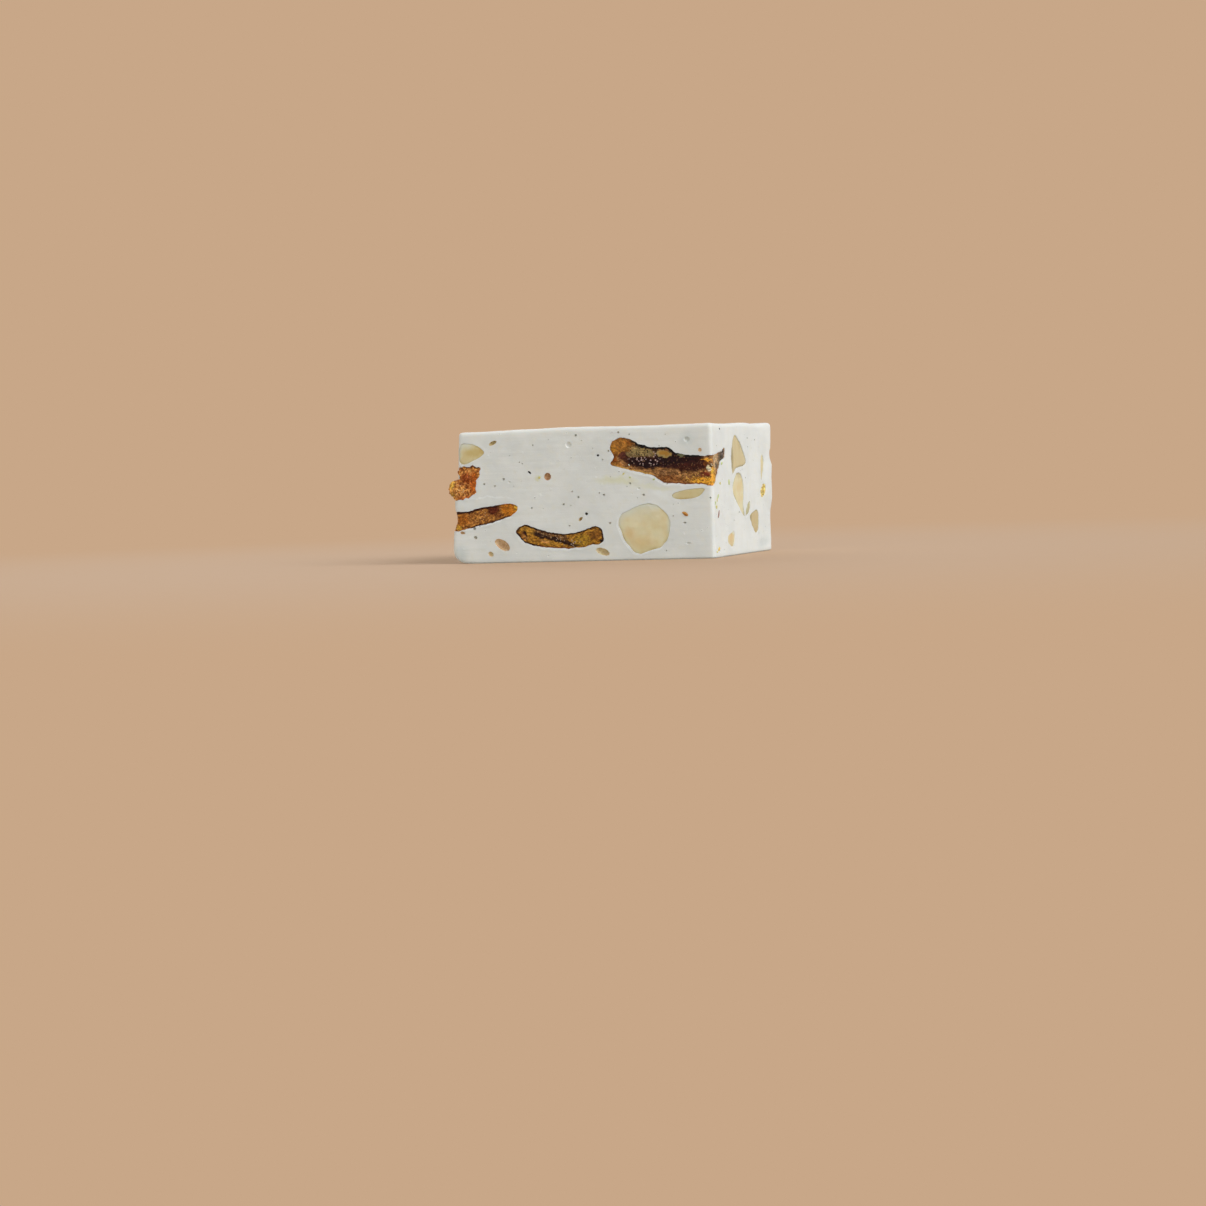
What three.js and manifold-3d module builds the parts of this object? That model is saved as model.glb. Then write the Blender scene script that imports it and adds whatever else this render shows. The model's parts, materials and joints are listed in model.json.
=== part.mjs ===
// A thick bar of soft white nougat, cut from a slab. Its four cut sides show macadamia pieces, slices of
// dried fruit and the hollows of air bubbles. The top and the base are the slab's own smooth faces.
// Sizes are millimetres. +Z is up, the front is -Y, and the origin is the middle of the base.
import * as THREE from "three";
import { mergeVertices } from "three/addons/utils/BufferGeometryUtils.js";
import Module from "manifold-3d";

const wasm = await Module();
wasm.setup();

// Driving sizes of the bar
const WIDTH = 67.5;
const DEPTH = 57;
const HEIGHT = 33.5;
const EDGE_RADIUS = 0.9;
const SOFT_EDGE_RADIUS = 3.2; // the lower left edge, pressed round
const LEFT_LEAN = 1.4; // how much further out the left side is at its foot than at its top
const WAVE = 0.16; // the cut sides' unevenness
const TOP_WAVE = 0.3;
const GAP = 0.3; // between each piece and the pocket that holds it
const OUTSIDE = 2.2; // how far a form starts outside the side that cuts it

const finish = {
  nougat: { color: 0xe9e6dd, roughness: 0.62, metalness: 0 },
  macadamia: { color: 0xd6c594, roughness: 0.42, metalness: 0 },
  driedFruit: { color: 0x8a5020, roughness: 0.5, metalness: 0 },
};

// Each side has an axis to the right as one looks at it, and a direction into the bar. Up is +Z on all.
const SIDES = {
  front: { right: [1, 0], inward: [0, 1], reach: DEPTH / 2 },
  right: { right: [0, 1], inward: [-1, 0], reach: WIDTH / 2 },
  back: { right: [-1, 0], inward: [0, -1], reach: DEPTH / 2 },
  left: { right: [0, -1], inward: [1, 0], reach: WIDTH / 2 },
};

// A point of a side: across to the right, up from the base, and deep into the bar
function onSide(side, across, up, deep) {
  const { right, inward, reach } = SIDES[side];
  const level = deep - reach;
  return new THREE.Vector3(
    right[0] * across + inward[0] * level,
    right[1] * across + inward[1] * level,
    up,
  );
}

function solidFrom(geometry) {
  const bare = geometry.index ? geometry.toNonIndexed() : geometry.clone();
  bare.deleteAttribute("normal");
  bare.deleteAttribute("uv");
  const merged = mergeVertices(bare, 1e-4);
  const triVerts = new Uint32Array(merged.index.array);
  const vertProperties = merged.attributes.position.array;
  return new wasm.Manifold(new wasm.Mesh({ numProp: 3, vertProperties, triVerts }));
}

function geometryFrom(solid) {
  const { numProp, numVert, vertProperties, triVerts } = solid.getMesh();
  const position = new Float32Array(numVert * 3);
  for (let i = 0; i < numVert; i++) {
    position.set(vertProperties.subarray(i * numProp, i * numProp + 3), i * 3);
  }
  const geometry = new THREE.BufferGeometry();
  geometry.setAttribute("position", new THREE.BufferAttribute(position, 3));
  geometry.setIndex(new THREE.BufferAttribute(triVerts, 1));
  geometry.computeVertexNormals();
  return geometry;
}

function seededDraw(seed) {
  let state = seed;
  return (low, high) => {
    state = (state * 1664525 + 1013904223) % 4294967296;
    return low + ((high - low) * state) / 4294967296;
  };
}

// Sets a box's grid lines closer together near its edges, where the faces turn round
function nearerEdges(value, half) {
  const share = value / half;
  return half * Math.sign(share) * (1 - (1 - Math.abs(share)) ** 2.2);
}

function edgeRadius(x, y, z) {
  const low = Math.exp(-((z / 6) ** 2));
  const left = Math.exp(-(((x + WIDTH / 2) / 7) ** 2));
  const farTopCorner = Math.exp(-(((x - WIDTH / 2) ** 2 + (y - DEPTH / 2) ** 2 + (z - HEIGHT) ** 2) / 40));
  return EDGE_RADIUS + (SOFT_EDGE_RADIUS - EDGE_RADIUS) * Math.max(low * left, farTopCorner);
}

function unevenness(x, y, z) {
  const long = Math.sin(x * 0.13 + y * 0.09 + 0.7) + Math.sin(z * 0.21 - x * 0.07 + 1.9);
  const short = Math.sin(x * 0.31 + z * 0.27 + 0.4) + Math.sin(y * 0.33 - z * 0.23 + 2.2);
  return long * 0.35 + short * 0.15;
}

// The whole bar before anything is cut into it: a box with rounded, slightly uneven sides and a flat base
function barForm() {
  const box = new THREE.BoxGeometry(WIDTH, DEPTH, HEIGHT, 12, 10, 8);
  const place = box.attributes.position;
  const half = [WIDTH / 2, DEPTH / 2, HEIGHT / 2];
  for (let i = 0; i < place.count; i++) {
    const grid = [place.getX(i), place.getY(i), place.getZ(i)].map((v, k) => nearerEdges(v, half[k]));
    const up = grid[2] + HEIGHT / 2;
    const radius = edgeRadius(grid[0], grid[1], up);
    const inner = grid.map((v, k) => THREE.MathUtils.clamp(v, radius - half[k], half[k] - radius));
    const normal = new THREE.Vector3(...grid.map((v, k) => v - inner[k])).normalize();
    const sideShare = Math.hypot(normal.x, normal.y) * THREE.MathUtils.smoothstep(up, 0, 4);
    const topShare = Math.max(normal.z, 0);
    const wave = unevenness(grid[0], grid[1], up) * (WAVE * sideShare + TOP_WAVE * topShare);
    const reach = radius + wave - TOP_WAVE * topShare;
    const leftShare = THREE.MathUtils.smoothstep(-grid[0], -WIDTH / 4, WIDTH / 2);
    const lean = LEFT_LEAN * (up / HEIGHT - 0.5) * leftShare;
    place.setXYZ(
      i,
      inner[0] + normal.x * reach + lean,
      inner[1] + normal.y * reach,
      inner[2] + normal.z * reach + HEIGHT / 2,
    );
  }
  return solidFrom(box);
}

// How wide a piece still is on its way into the bar, from 1 at the cut side to 0 at its far end
const narrowing = {
  nut: (t) => Math.sqrt(Math.max(0, 1 - t ** 2.4)),
  slice: (t) => Math.max(0, 1 - t ** 5) ** 0.6,
};

// A closed form whose outline on the side is a smooth curve through the points, run into the bar.
// drift moves its far end across and up. grow makes it larger all round, for the pocket.
function pieceForm({ side, at, outline, deep, kind, drift = [0, 0], steps = 16 }, grow) {
  const curve = new THREE.CatmullRomCurve3(
    outline.map(([across, up]) => new THREE.Vector3(across, up, 0)),
    true,
    "centripetal",
  );
  const ring = curve.getPoints(steps).slice(0, steps);
  const turn = Math.sign(THREE.ShapeUtils.area(ring));
  const grown = ring.map((point, i) => {
    const along = ring[(i + 1) % steps].clone().sub(ring[(i + steps - 1) % steps]).normalize();
    return [point.x + along.y * grow * turn, point.y - along.x * grow * turn];
  });
  const far = deep + grow;
  const stations = [-OUTSIDE / far, 0.4, 0.72, 0.92];
  const corners = [];
  for (const t of stations) {
    const width = narrowing[kind](Math.max(t, 0));
    const push = Math.max(t, 0) ** 1.5;
    for (const [across, up] of grown) {
      corners.push(
        onSide(side, at[0] + across * width + drift[0] * push, at[1] + up * width + drift[1] * push, t * far),
      );
    }
  }
  const middle = grown.reduce((sum, p) => [sum[0] + p[0] / steps, sum[1] + p[1] / steps], [0, 0]);
  const start = corners.push(onSide(side, at[0] + middle[0], at[1] + middle[1], -OUTSIDE)) - 1;
  const end = corners.push(onSide(side, at[0] + drift[0], at[1] + drift[1], far)) - 1;
  const faces = [];
  for (let i = 0; i < steps; i++) {
    const next = (i + 1) % steps;
    const last = (stations.length - 1) * steps;
    faces.push([start, next, i], [end, last + i, last + next]);
    for (let k = 0; k < stations.length - 1; k++) {
      const a = k * steps + i;
      const b = k * steps + next;
      faces.push([a, b, a + steps], [b, b + steps, a + steps]);
    }
  }
  const index = turn > 0 ? faces.map(([a, b, c]) => [a, c, b]) : faces;
  const geometry = new THREE.BufferGeometry().setFromPoints(corners);
  geometry.setIndex(index.flat());
  return solidFrom(geometry);
}

// An uneven outline for pieces that have only a size and a turn
function roughOutline({ size, turnDeg = 0, seed, corners = 8 }) {
  const draw = seededDraw(seed);
  const turn = THREE.MathUtils.degToRad(turnDeg);
  return Array.from({ length: corners }, (_, i) => {
    const angle = ((i + draw(-0.25, 0.25)) / corners) * 2 * Math.PI;
    const reach = draw(0.82, 1.08);
    const across = (Math.cos(angle) * size[0] * reach) / 2;
    const up = (Math.sin(angle) * size[1] * reach) / 2;
    return [across * Math.cos(turn) - up * Math.sin(turn), across * Math.sin(turn) + up * Math.cos(turn)];
  });
}

// A dried fruit slice is a bent strip of even thickness with full ends
function stripOutline({ length, thick, bow, turnDeg = 0, seed }) {
  const draw = seededDraw(seed);
  const turn = THREE.MathUtils.degToRad(turnDeg);
  const shares = [-0.5, -0.28, 0, 0.28, 0.5];
  const edge = (share, side) => {
    const full = Math.abs(share) > 0.4 ? 0.75 : 1;
    const across = share * length + (full < 1 ? 0 : draw(-0.4, 0.4));
    const up = bow * (4 * share * share - 0.5) + side * (thick / 2) * full * draw(0.85, 1.15);
    return [across * Math.cos(turn) - up * Math.sin(turn), across * Math.sin(turn) + up * Math.cos(turn)];
  };
  const top = shares.map((share) => edge(share, 1));
  const foot = shares.map((share) => edge(share, -1)).reverse();
  return [...top, ...foot];
}

const pieces = {
  // The front's nuts
  nut_round: {
    side: "front", at: [15.9, 7.9], deep: 7.2, kind: "nut", steps: 22,
    outline: [
      [-6.5, 1.4], [-6.3, -1], [-5.3, -3.3], [-2.2, -6.2], [0.5, -5.7], [4.5, -4.8],
      [6.6, -1], [6.6, 2], [5.1, 4.3], [2, 6.3], [-2, 5.7], [-5.6, 3.6],
    ],
  },
  nut_corner: {
    side: "front", at: [-28.9, 28.1], deep: 5, kind: "nut", drift: [0.8, -0.4],
    outline: [[-2.7, 2.2], [-0.6, 2.5], [1.9, 1.1], [2.8, -0.1], [0.1, -1.9], [-2.8, -2.5]],
  },
  nut_leaf: {
    side: "front", at: [27.4, 16.3], deep: 3.6, kind: "nut", drift: [-0.5, -0.6],
    outline: [[-4.5, -0.4], [-2, 0.8], [2.1, 1.3], [4.5, 1], [2.6, -0.9], [-0.2, -1.3], [-3.1, -1.3]],
  },
  // The front's dried fruit
  fruit_corner_slice: {
    side: "front", at: [20.6, 24.3], deep: 6.5, kind: "nut", drift: [0, 1], steps: 30,
    outline: [
      [-12.9, 3.7], [-11.2, 6.2], [-8.2, 6], [-5.6, 4.4], [-1.4, 3.4], [2.2, 3.1], [4.4, 1.8],
      [8.8, 1.2], [13.5, 1.4], [17.5, -0.8], [13.8, -6.2], [10.8, -5.8], [6.3, -5.5], [1.5, -5], [-2.5, -3.3],
      [-8.5, -1.4], [-13, -0.4], [-12.2, 1.3],
    ],
  },
  fruit_curved_slice: {
    side: "front", at: [-6.5, 6.3], deep: 9.5, kind: "slice", drift: [-1, 1.2], steps: 26,
    outline: [
      [-11.2, 1.4], [-9.1, 3.1], [-6.5, 2.1], [-2.4, 0.8], [2.7, 0.4], [6.5, 1.2], [9.3, 2],
      [11, 0.7], [11, -1.1], [9.1, -2.1], [3.9, -2.9], [-0.2, -2.9], [-5, -2.4], [-9.5, -1.2],
    ],
  },
  fruit_left_slice: {
    side: "front", at: [-25.9, 11.8], deep: 14, kind: "slice", drift: [0, 0.8], steps: 22,
    outline: [
      [-11.5, 1], [-5.9, 1.3], [-2.3, 2.2], [1.8, 2.6], [5.2, 3.1], [8.3, 2.7], [8, 1.1],
      [4.4, -0.6], [-0.4, -1.9], [-3.8, -2.7], [-11.5, -3.3],
    ],
  },
  fruit_left_lump: {
    side: "front", at: [-31.7, 20.5], deep: 7.5, kind: "nut", drift: [1.4, 0.6], steps: 24, proud: true,
    outline: [
      [-0.5, 4.4], [2.8, 3.5], [4.2, 3.7], [3.1, -0.3], [2.9, -2.7], [0.3, -4], [-2.4, -4.2],
      [-3.7, -3], [-4, -0.8], [-2.5, 0.7], [-1.6, 1.2], [-2.2, 2.8],
    ],
  },
  // The right side's nuts and fruit
  nut_fin: {
    side: "right", at: [-3.5, 25.6], deep: 6.4, kind: "nut", steps: 18,
    outline: [
      [-7.5, -1.2], [-5.4, 3.6], [-2.9, 4.6], [1.5, 3.3], [6.5, -0.5], [7.5, -2.3], [1.7, -3.2],
      [-3.7, -3.6], [-6.2, -4.4],
    ],
  },
  nut_drop: {
    side: "right", at: [-4.3, 15.2], deep: 6, kind: "nut", steps: 18, drift: [0, -0.8],
    outline: [
      [0.5, 5.2], [4.2, 4.1], [5, 1.3], [4.4, -2.6], [5.6, -5.8], [0.4, -3.2], [-5, 0.2],
      [-6, 1.9], [-3.5, 4.2],
    ],
  },
  nut_hook: {
    side: "right", at: [5, 11.9], deep: 2.6, kind: "nut", steps: 12,
    outline: [[1.5, 1.4], [2, 0.4], [0.4, -0.8], [-1.7, -1.2], [-0.4, 0.3]],
  },
  nut_shield: {
    side: "right", at: [10.4, 8.1], deep: 4.6, kind: "nut",
    outline: [
      [1.7, 3.1], [4.7, 2.6], [4.8, 0.5], [4.4, -2.1], [2.5, -3.1], [0.5, -2.9], [-3.7, 0.2],
      [-4.8, 1.2], [-2, 2.4],
    ],
  },
  nut_low: {
    side: "right", at: [-12.5, 4.2], deep: 3.6, kind: "nut", steps: 14,
    outline: [[3.5, 1.9], [3.3, 0.3], [2.4, -1.5], [-0.3, -1.9], [-3.5, -0.5], [-3, 0.9], [-0.4, 1.6]],
  },
  nut_thin: {
    side: "right", at: [20.1, 22.5], deep: 2.6, kind: "nut", steps: 14,
    outline: [[-0.1, 3.1], [1.4, 1.6], [1.2, 0], [-0.3, -2.4], [-1.1, -2.9], [-1.4, -1.2], [-1.3, 1.4]],
  },
  fruit_amber_bit: {
    side: "right", at: [20.1, 16.4], deep: 2.6, kind: "slice", steps: 14,
    outline: [[0.4, 1.5], [2.4, 1], [2.1, -1.5], [-2, -1.5], [-2.4, -0.5], [-0.8, 0.5]],
  },
  // The back and the left side aren't seen in the photograph, and are finished like the sides that are
  fruit_back_long: {
    side: "back", at: [-13.5, 22.5], deep: 9, kind: "slice", steps: 22,
    outline: stripOutline({ length: 27, thick: 5.4, bow: -1.6, turnDeg: 6, seed: 11 }),
  },
  fruit_back_bent: {
    side: "back", at: [15.5, 8], deep: 8, kind: "slice", steps: 20,
    outline: stripOutline({ length: 21, thick: 4, bow: 2.6, turnDeg: -8, seed: 23 }),
  },
  fruit_back_end: {
    side: "back", at: [25, 24.8], deep: 5, kind: "slice", steps: 18,
    outline: stripOutline({ length: 12, thick: 3.6, bow: 0.8, turnDeg: 14, seed: 37 }),
  },
  nut_back_whole: {
    side: "back", at: [8.5, 22.6], deep: 7.4, kind: "nut", steps: 18,
    outline: roughOutline({ size: [13.5, 12], turnDeg: 20, seed: 5, corners: 9 }),
  },
  nut_back_left: {
    side: "back", at: [-24.5, 9.2], deep: 5.8, kind: "nut",
    outline: roughOutline({ size: [11, 7.4], turnDeg: -28, seed: 61 }),
  },
  nut_back_middle: {
    side: "back", at: [-7, 8.4], deep: 5.2, kind: "nut",
    outline: roughOutline({ size: [9.4, 5.6], turnDeg: 35, seed: 83 }),
  },
  nut_back_small: {
    side: "back", at: [28.8, 14.6], deep: 3.4, kind: "nut", steps: 14,
    outline: roughOutline({ size: [4.8, 4], turnDeg: 10, seed: 97, corners: 7 }),
  },
  nut_left_large: {
    side: "left", at: [-2.5, 22.3], deep: 6.6, kind: "nut", steps: 18,
    outline: roughOutline({ size: [13, 9.4], turnDeg: -22, seed: 41, corners: 9 }),
  },
  nut_left_low: {
    side: "left", at: [-16.5, 9.4], deep: 5, kind: "nut",
    outline: roughOutline({ size: [8.6, 6.6], turnDeg: 30, seed: 53 }),
  },
  nut_left_small: {
    side: "left", at: [4.2, 6.6], deep: 3.4, kind: "nut", steps: 14,
    outline: roughOutline({ size: [5.4, 3.4], turnDeg: -12, seed: 71, corners: 7 }),
  },
  fruit_left_strip: {
    side: "left", at: [-15.8, 24], deep: 7, kind: "slice", steps: 18,
    outline: stripOutline({ length: 12, thick: 4.2, bow: 1.4, turnDeg: -10, seed: 67 }),
  },
};

// The slice at the front right edge goes round it, as a wedge of skin that lies on the right side
const skinWedge = {
  side: "right", at: [-22.8, 22.8], deep: 2.4, kind: "slice", steps: 20,
  outline: [
    [-8, 2.2], [-2.5, 2.9], [1.5, 3.4], [6.4, 4.5], [6.3, 2.1], [2.1, 1.1], [-0.5, -1.2],
    [-3.2, -3.2], [-8, -4.4],
  ],
};

// Bubbles that the photograph shows: across and up on the side, half sizes, turn, and how deep the middle lies
const bubbles = {
  front: [
    { at: [-3.5, 29.3], half: [0.95, 0.95] },
    { at: [-9.3, 21.5], half: [1, 1] },
    { at: [-22, 4.2], half: [2.4, 1.25], turnDeg: -33 },
    { at: [4.5, 2.4], half: [1.9, 0.85], turnDeg: -20 },
    { at: [-25.2, 2.2], half: [0.8, 0.6], turnDeg: -30 },
    { at: [-32.4, 7.4], half: [0.75, 0.45] },
    { at: [-29.2, 6.1], half: [0.5, 0.5] },
    { at: [30.7, 26.9], half: [0.5, 0.5] },
    { at: [27.4, 29.6], half: [0.8, 0.8] },
    { at: [-23.7, 30.4], half: [1.1, 0.45], turnDeg: 30 },
    { at: [-0.9, 10.6], half: [0.7, 0.4], turnDeg: 45 },
    { at: [27.1, 4], half: [0.8, 0.4] },
  ],
};
const SCATTERED_SIDES = { right: 4, back: 10, left: 8 };
const SCATTER_SEED = 907;

// The hollow that a cut bubble leaves: half a ball, whose other half is drawn out to open the side
function bubbleForm(side, { at, half, turnDeg = 0 }) {
  const ball = new THREE.SphereGeometry(1, 8, 6);
  ball.rotateX(Math.PI / 2);
  ball.scale(half[0], half[1], (half[0] + half[1]) / 2);
  ball.rotateZ(THREE.MathUtils.degToRad(turnDeg));
  const place = ball.attributes.position;
  for (let i = 0; i < place.count; i++) {
    const out = place.getZ(i) > 0 ? OUTSIDE : 0;
    const point = onSide(side, at[0] + place.getX(i), at[1] + place.getY(i), -place.getZ(i) - out);
    place.setXYZ(i, point.x, point.y, point.z);
  }
  return solidFrom(ball);
}

// More bubbles on the sides that the photograph shows little of, kept clear of the pieces there
function scatterBubbles(side, count, draw) {
  const room = side === "back" ? WIDTH : DEPTH;
  const taken = Object.values(pieces)
    .filter((piece) => piece.side === side)
    .map(({ at, outline }) => ({ at, far: Math.max(...outline.map(([a, u]) => Math.hypot(a, u))) }));
  const found = [];
  while (found.length < count) {
    const at = [draw(3 - room / 2, room / 2 - 3), draw(2, HEIGHT - 2)];
    const size = draw(0.45, 1.15);
    const clear = taken.every((t) => Math.hypot(at[0] - t.at[0], at[1] - t.at[1]) > t.far + size + 0.8);
    if (clear) {
      taken.push({ at, far: size });
      found.push({ at, half: [size, size * draw(0.6, 1)], turnDeg: draw(-40, 40) });
    }
  }
  return found;
}

function material(name) {
  const kind = name.startsWith("nut") ? "macadamia" : "driedFruit";
  return new THREE.MeshStandardMaterial(name === "nougat_bar" ? finish.nougat : finish[kind]);
}

function named(name, solid) {
  const mesh = new THREE.Mesh(geometryFrom(solid), material(name));
  mesh.name = name;
  return mesh;
}

const bar = barForm();
let nougat = bar;
const group = new THREE.Group();

for (const [name, piece] of Object.entries(pieces)) {
  let form = pieceForm(piece, 0);
  let pocket = pieceForm(piece, GAP);
  if (name === "fruit_corner_slice") {
    form = form.add(pieceForm(skinWedge, 0));
    pocket = pocket.add(pieceForm(skinWedge, GAP));
  }
  nougat = nougat.subtract(pocket);
  if (piece.proud) {
    // a torn lump sticks out of the left side, and is cut level with the front alone
    const front = new THREE.BoxGeometry(WIDTH * 2, DEPTH, HEIGHT * 2);
    form = form.intersect(solidFrom(front));
  } else {
    form = form.intersect(bar);
  }
  group.add(named(name, form));
}

const draw = seededDraw(SCATTER_SEED);
for (const [side, count] of Object.entries(SCATTERED_SIDES)) {
  bubbles[side] = scatterBubbles(side, count, draw);
}
for (const [side, list] of Object.entries(bubbles)) {
  for (const bubble of list) {
    nougat = nougat.subtract(bubbleForm(side, bubble));
  }
}
group.add(named("nougat_bar", nougat));

// The lump makes the whole wider on one side, so all is set with the middle of the overall base at the origin
const overall = new THREE.Box3().setFromObject(group);
const middle = overall.getCenter(new THREE.Vector3());
for (const mesh of group.children) {
  mesh.geometry.translate(-middle.x, -middle.y, -overall.min.z);
}

export default group;
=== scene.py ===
import json
import math
import random

import bmesh
import bpy
from mathutils import Matrix, Vector

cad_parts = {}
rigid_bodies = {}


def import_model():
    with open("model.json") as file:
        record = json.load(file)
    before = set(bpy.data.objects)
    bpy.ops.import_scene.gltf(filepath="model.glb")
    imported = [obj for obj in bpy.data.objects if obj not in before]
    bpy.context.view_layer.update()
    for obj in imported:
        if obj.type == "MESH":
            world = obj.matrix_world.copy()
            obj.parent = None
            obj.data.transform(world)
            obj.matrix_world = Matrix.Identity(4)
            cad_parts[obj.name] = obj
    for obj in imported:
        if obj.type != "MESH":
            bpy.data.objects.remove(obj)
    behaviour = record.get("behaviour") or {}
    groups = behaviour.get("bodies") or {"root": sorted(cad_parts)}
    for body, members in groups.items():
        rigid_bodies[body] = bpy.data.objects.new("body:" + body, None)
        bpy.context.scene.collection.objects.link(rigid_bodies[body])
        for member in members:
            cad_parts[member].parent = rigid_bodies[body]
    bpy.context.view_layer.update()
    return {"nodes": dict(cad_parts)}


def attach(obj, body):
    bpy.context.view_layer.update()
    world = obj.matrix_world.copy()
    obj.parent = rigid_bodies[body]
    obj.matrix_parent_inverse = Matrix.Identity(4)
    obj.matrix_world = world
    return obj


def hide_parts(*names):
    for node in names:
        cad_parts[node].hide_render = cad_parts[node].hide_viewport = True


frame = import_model()
mm = 0.001
barMiddle = Vector((0.8 * mm, 0, 0))  # the torn lump on the left sets the bar this far off the origin
width, depth, height = 67.5, 57, 33.4  # of the bar, in mm

# right as one looks at the side, out of the side, and how far the side is from the middle
sides = {
    "front": (Vector((1, 0, 0)), Vector((0, -1, 0)), depth / 2),
    "right": (Vector((0, 1, 0)), Vector((1, 0, 0)), width / 2),
    "back": (Vector((-1, 0, 0)), Vector((0, 1, 0)), depth / 2),
    "left": (Vector((0, -1, 0)), Vector((-1, 0, 0)), width / 2),
    "top": (Vector((1, 0, 0)), Vector((0, 0, 1)), height),
}


def onSide(side, across, up, out=0.0):  # up is from the base, or on the top from its middle line
    right, outward, reach = sides[side]
    return barMiddle + (right * across + outward.cross(right) * up + outward * (reach + out)) * mm


def leaveEditing():
    if bpy.context.object and bpy.context.object.mode != "OBJECT":
        bpy.ops.object.mode_set(mode="OBJECT")


def pick(*pieces):
    leaveEditing()
    bpy.ops.object.select_all(action="DESELECT")
    for piece in pieces:
        piece.select_set(True)
    bpy.context.view_layer.objects.active = pieces[0]


def edit(piece, mode="FACE"):
    pick(piece)
    bpy.ops.object.mode_set(mode="EDIT")
    bpy.ops.mesh.select_mode(type=mode)
    bpy.ops.mesh.select_all(action="DESELECT")
    return bmesh.from_edit_mesh(piece.data)


def selectWhere(piece, parts, test):
    found = 0
    for part in parts:
        if test(part):
            part.select_set(True)
            found += 1
    bmesh.update_edit_mesh(piece.data)
    return found


def apply(piece, kind, **settings):
    pick(piece)
    modifier = piece.modifiers.new(kind.lower(), kind)
    for name, value in settings.items():
        setattr(modifier, name, value)
    bpy.ops.object.modifier_apply(modifier=modifier.name)


def cloudTexture(name, size, depthOfNoise=2):
    texture = bpy.data.textures.new(name, "CLOUDS")
    texture.noise_scale = size * mm
    texture.noise_depth = depthOfNoise
    return texture


def roughen(piece, size, strength, detail=2, group="", stretch=None, middle=0.5):
    texture = cloudTexture(f"{piece.name} roughness", size, detail)
    settings = {"texture": texture, "strength": strength * mm, "mid_level": middle, "vertex_group": group}
    guide = None
    if stretch:  # an empty as long as the marks are stretched
        guide = bpy.data.objects.new("marks guide", None)
        bpy.context.scene.collection.objects.link(guide)
        guide.scale = stretch
        bpy.context.view_layer.update()
        settings.update({"texture_coords": "OBJECT", "texture_coords_object": guide})
    apply(piece, "DISPLACE", **settings)
    if guide:
        bpy.data.objects.remove(guide)
    bpy.data.textures.remove(texture)


def duplicate(piece, name):
    copy = piece.copy()
    copy.data = piece.data.copy()
    copy.name = name
    bpy.context.scene.collection.objects.link(copy)
    return copy


def remove(*pieces):
    for piece in pieces:
        mesh = piece.data
        bpy.data.objects.remove(piece)
        if mesh.users == 0:
            bpy.data.meshes.remove(mesh)


def combine(piece, operation, other, solver="MANIFOLD"):
    before = len(piece.data.polygons)
    apply(piece, "BOOLEAN", operation=operation, object=other, solver=solver)
    if len(piece.data.polygons) < 4:
        raise RuntimeError(f"{piece.name} vanished when {other.name} was combined, from {before} faces")


def triangleCount(piece):
    return sum(len(face.vertices) - 2 for face in piece.data.polygons)


# distances in the finishes are in mm, and sums on a socket's value are written as sums
class Wire:
    def __init__(self, paint, socket):
        self.paint = paint
        self.socket = socket

    def __add__(self, other):
        return self.paint.maths("ADD", self, other)

    def __sub__(self, other):
        return self.paint.maths("SUBTRACT", self, other)

    def __rsub__(self, other):
        return self.paint.maths("SUBTRACT", other, self)

    def __mul__(self, other):
        return self.paint.maths("MULTIPLY", self, other)

    def __truediv__(self, other):
        return self.paint.maths("DIVIDE", self, other)

    __radd__ = __add__
    __rmul__ = __mul__

    def other(self, output):  # another output of the same node
        return Wire(self.paint, self.socket.node.outputs[output])


def linear(level):  # the usual curve of a screen, undone
    level /= 255
    return level / 12.92 if level < 0.04 else ((level + 0.055) / 1.055) ** 2.4


def colour(red, green, blue):  # as a colour picker shows it, 0 to 255
    return linear(red), linear(green), linear(blue), 1


def inMm(side, across, up):
    return onSide(side, across, up) / mm


patchDepth = 4  # mm that a painted patch goes into its side


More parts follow.
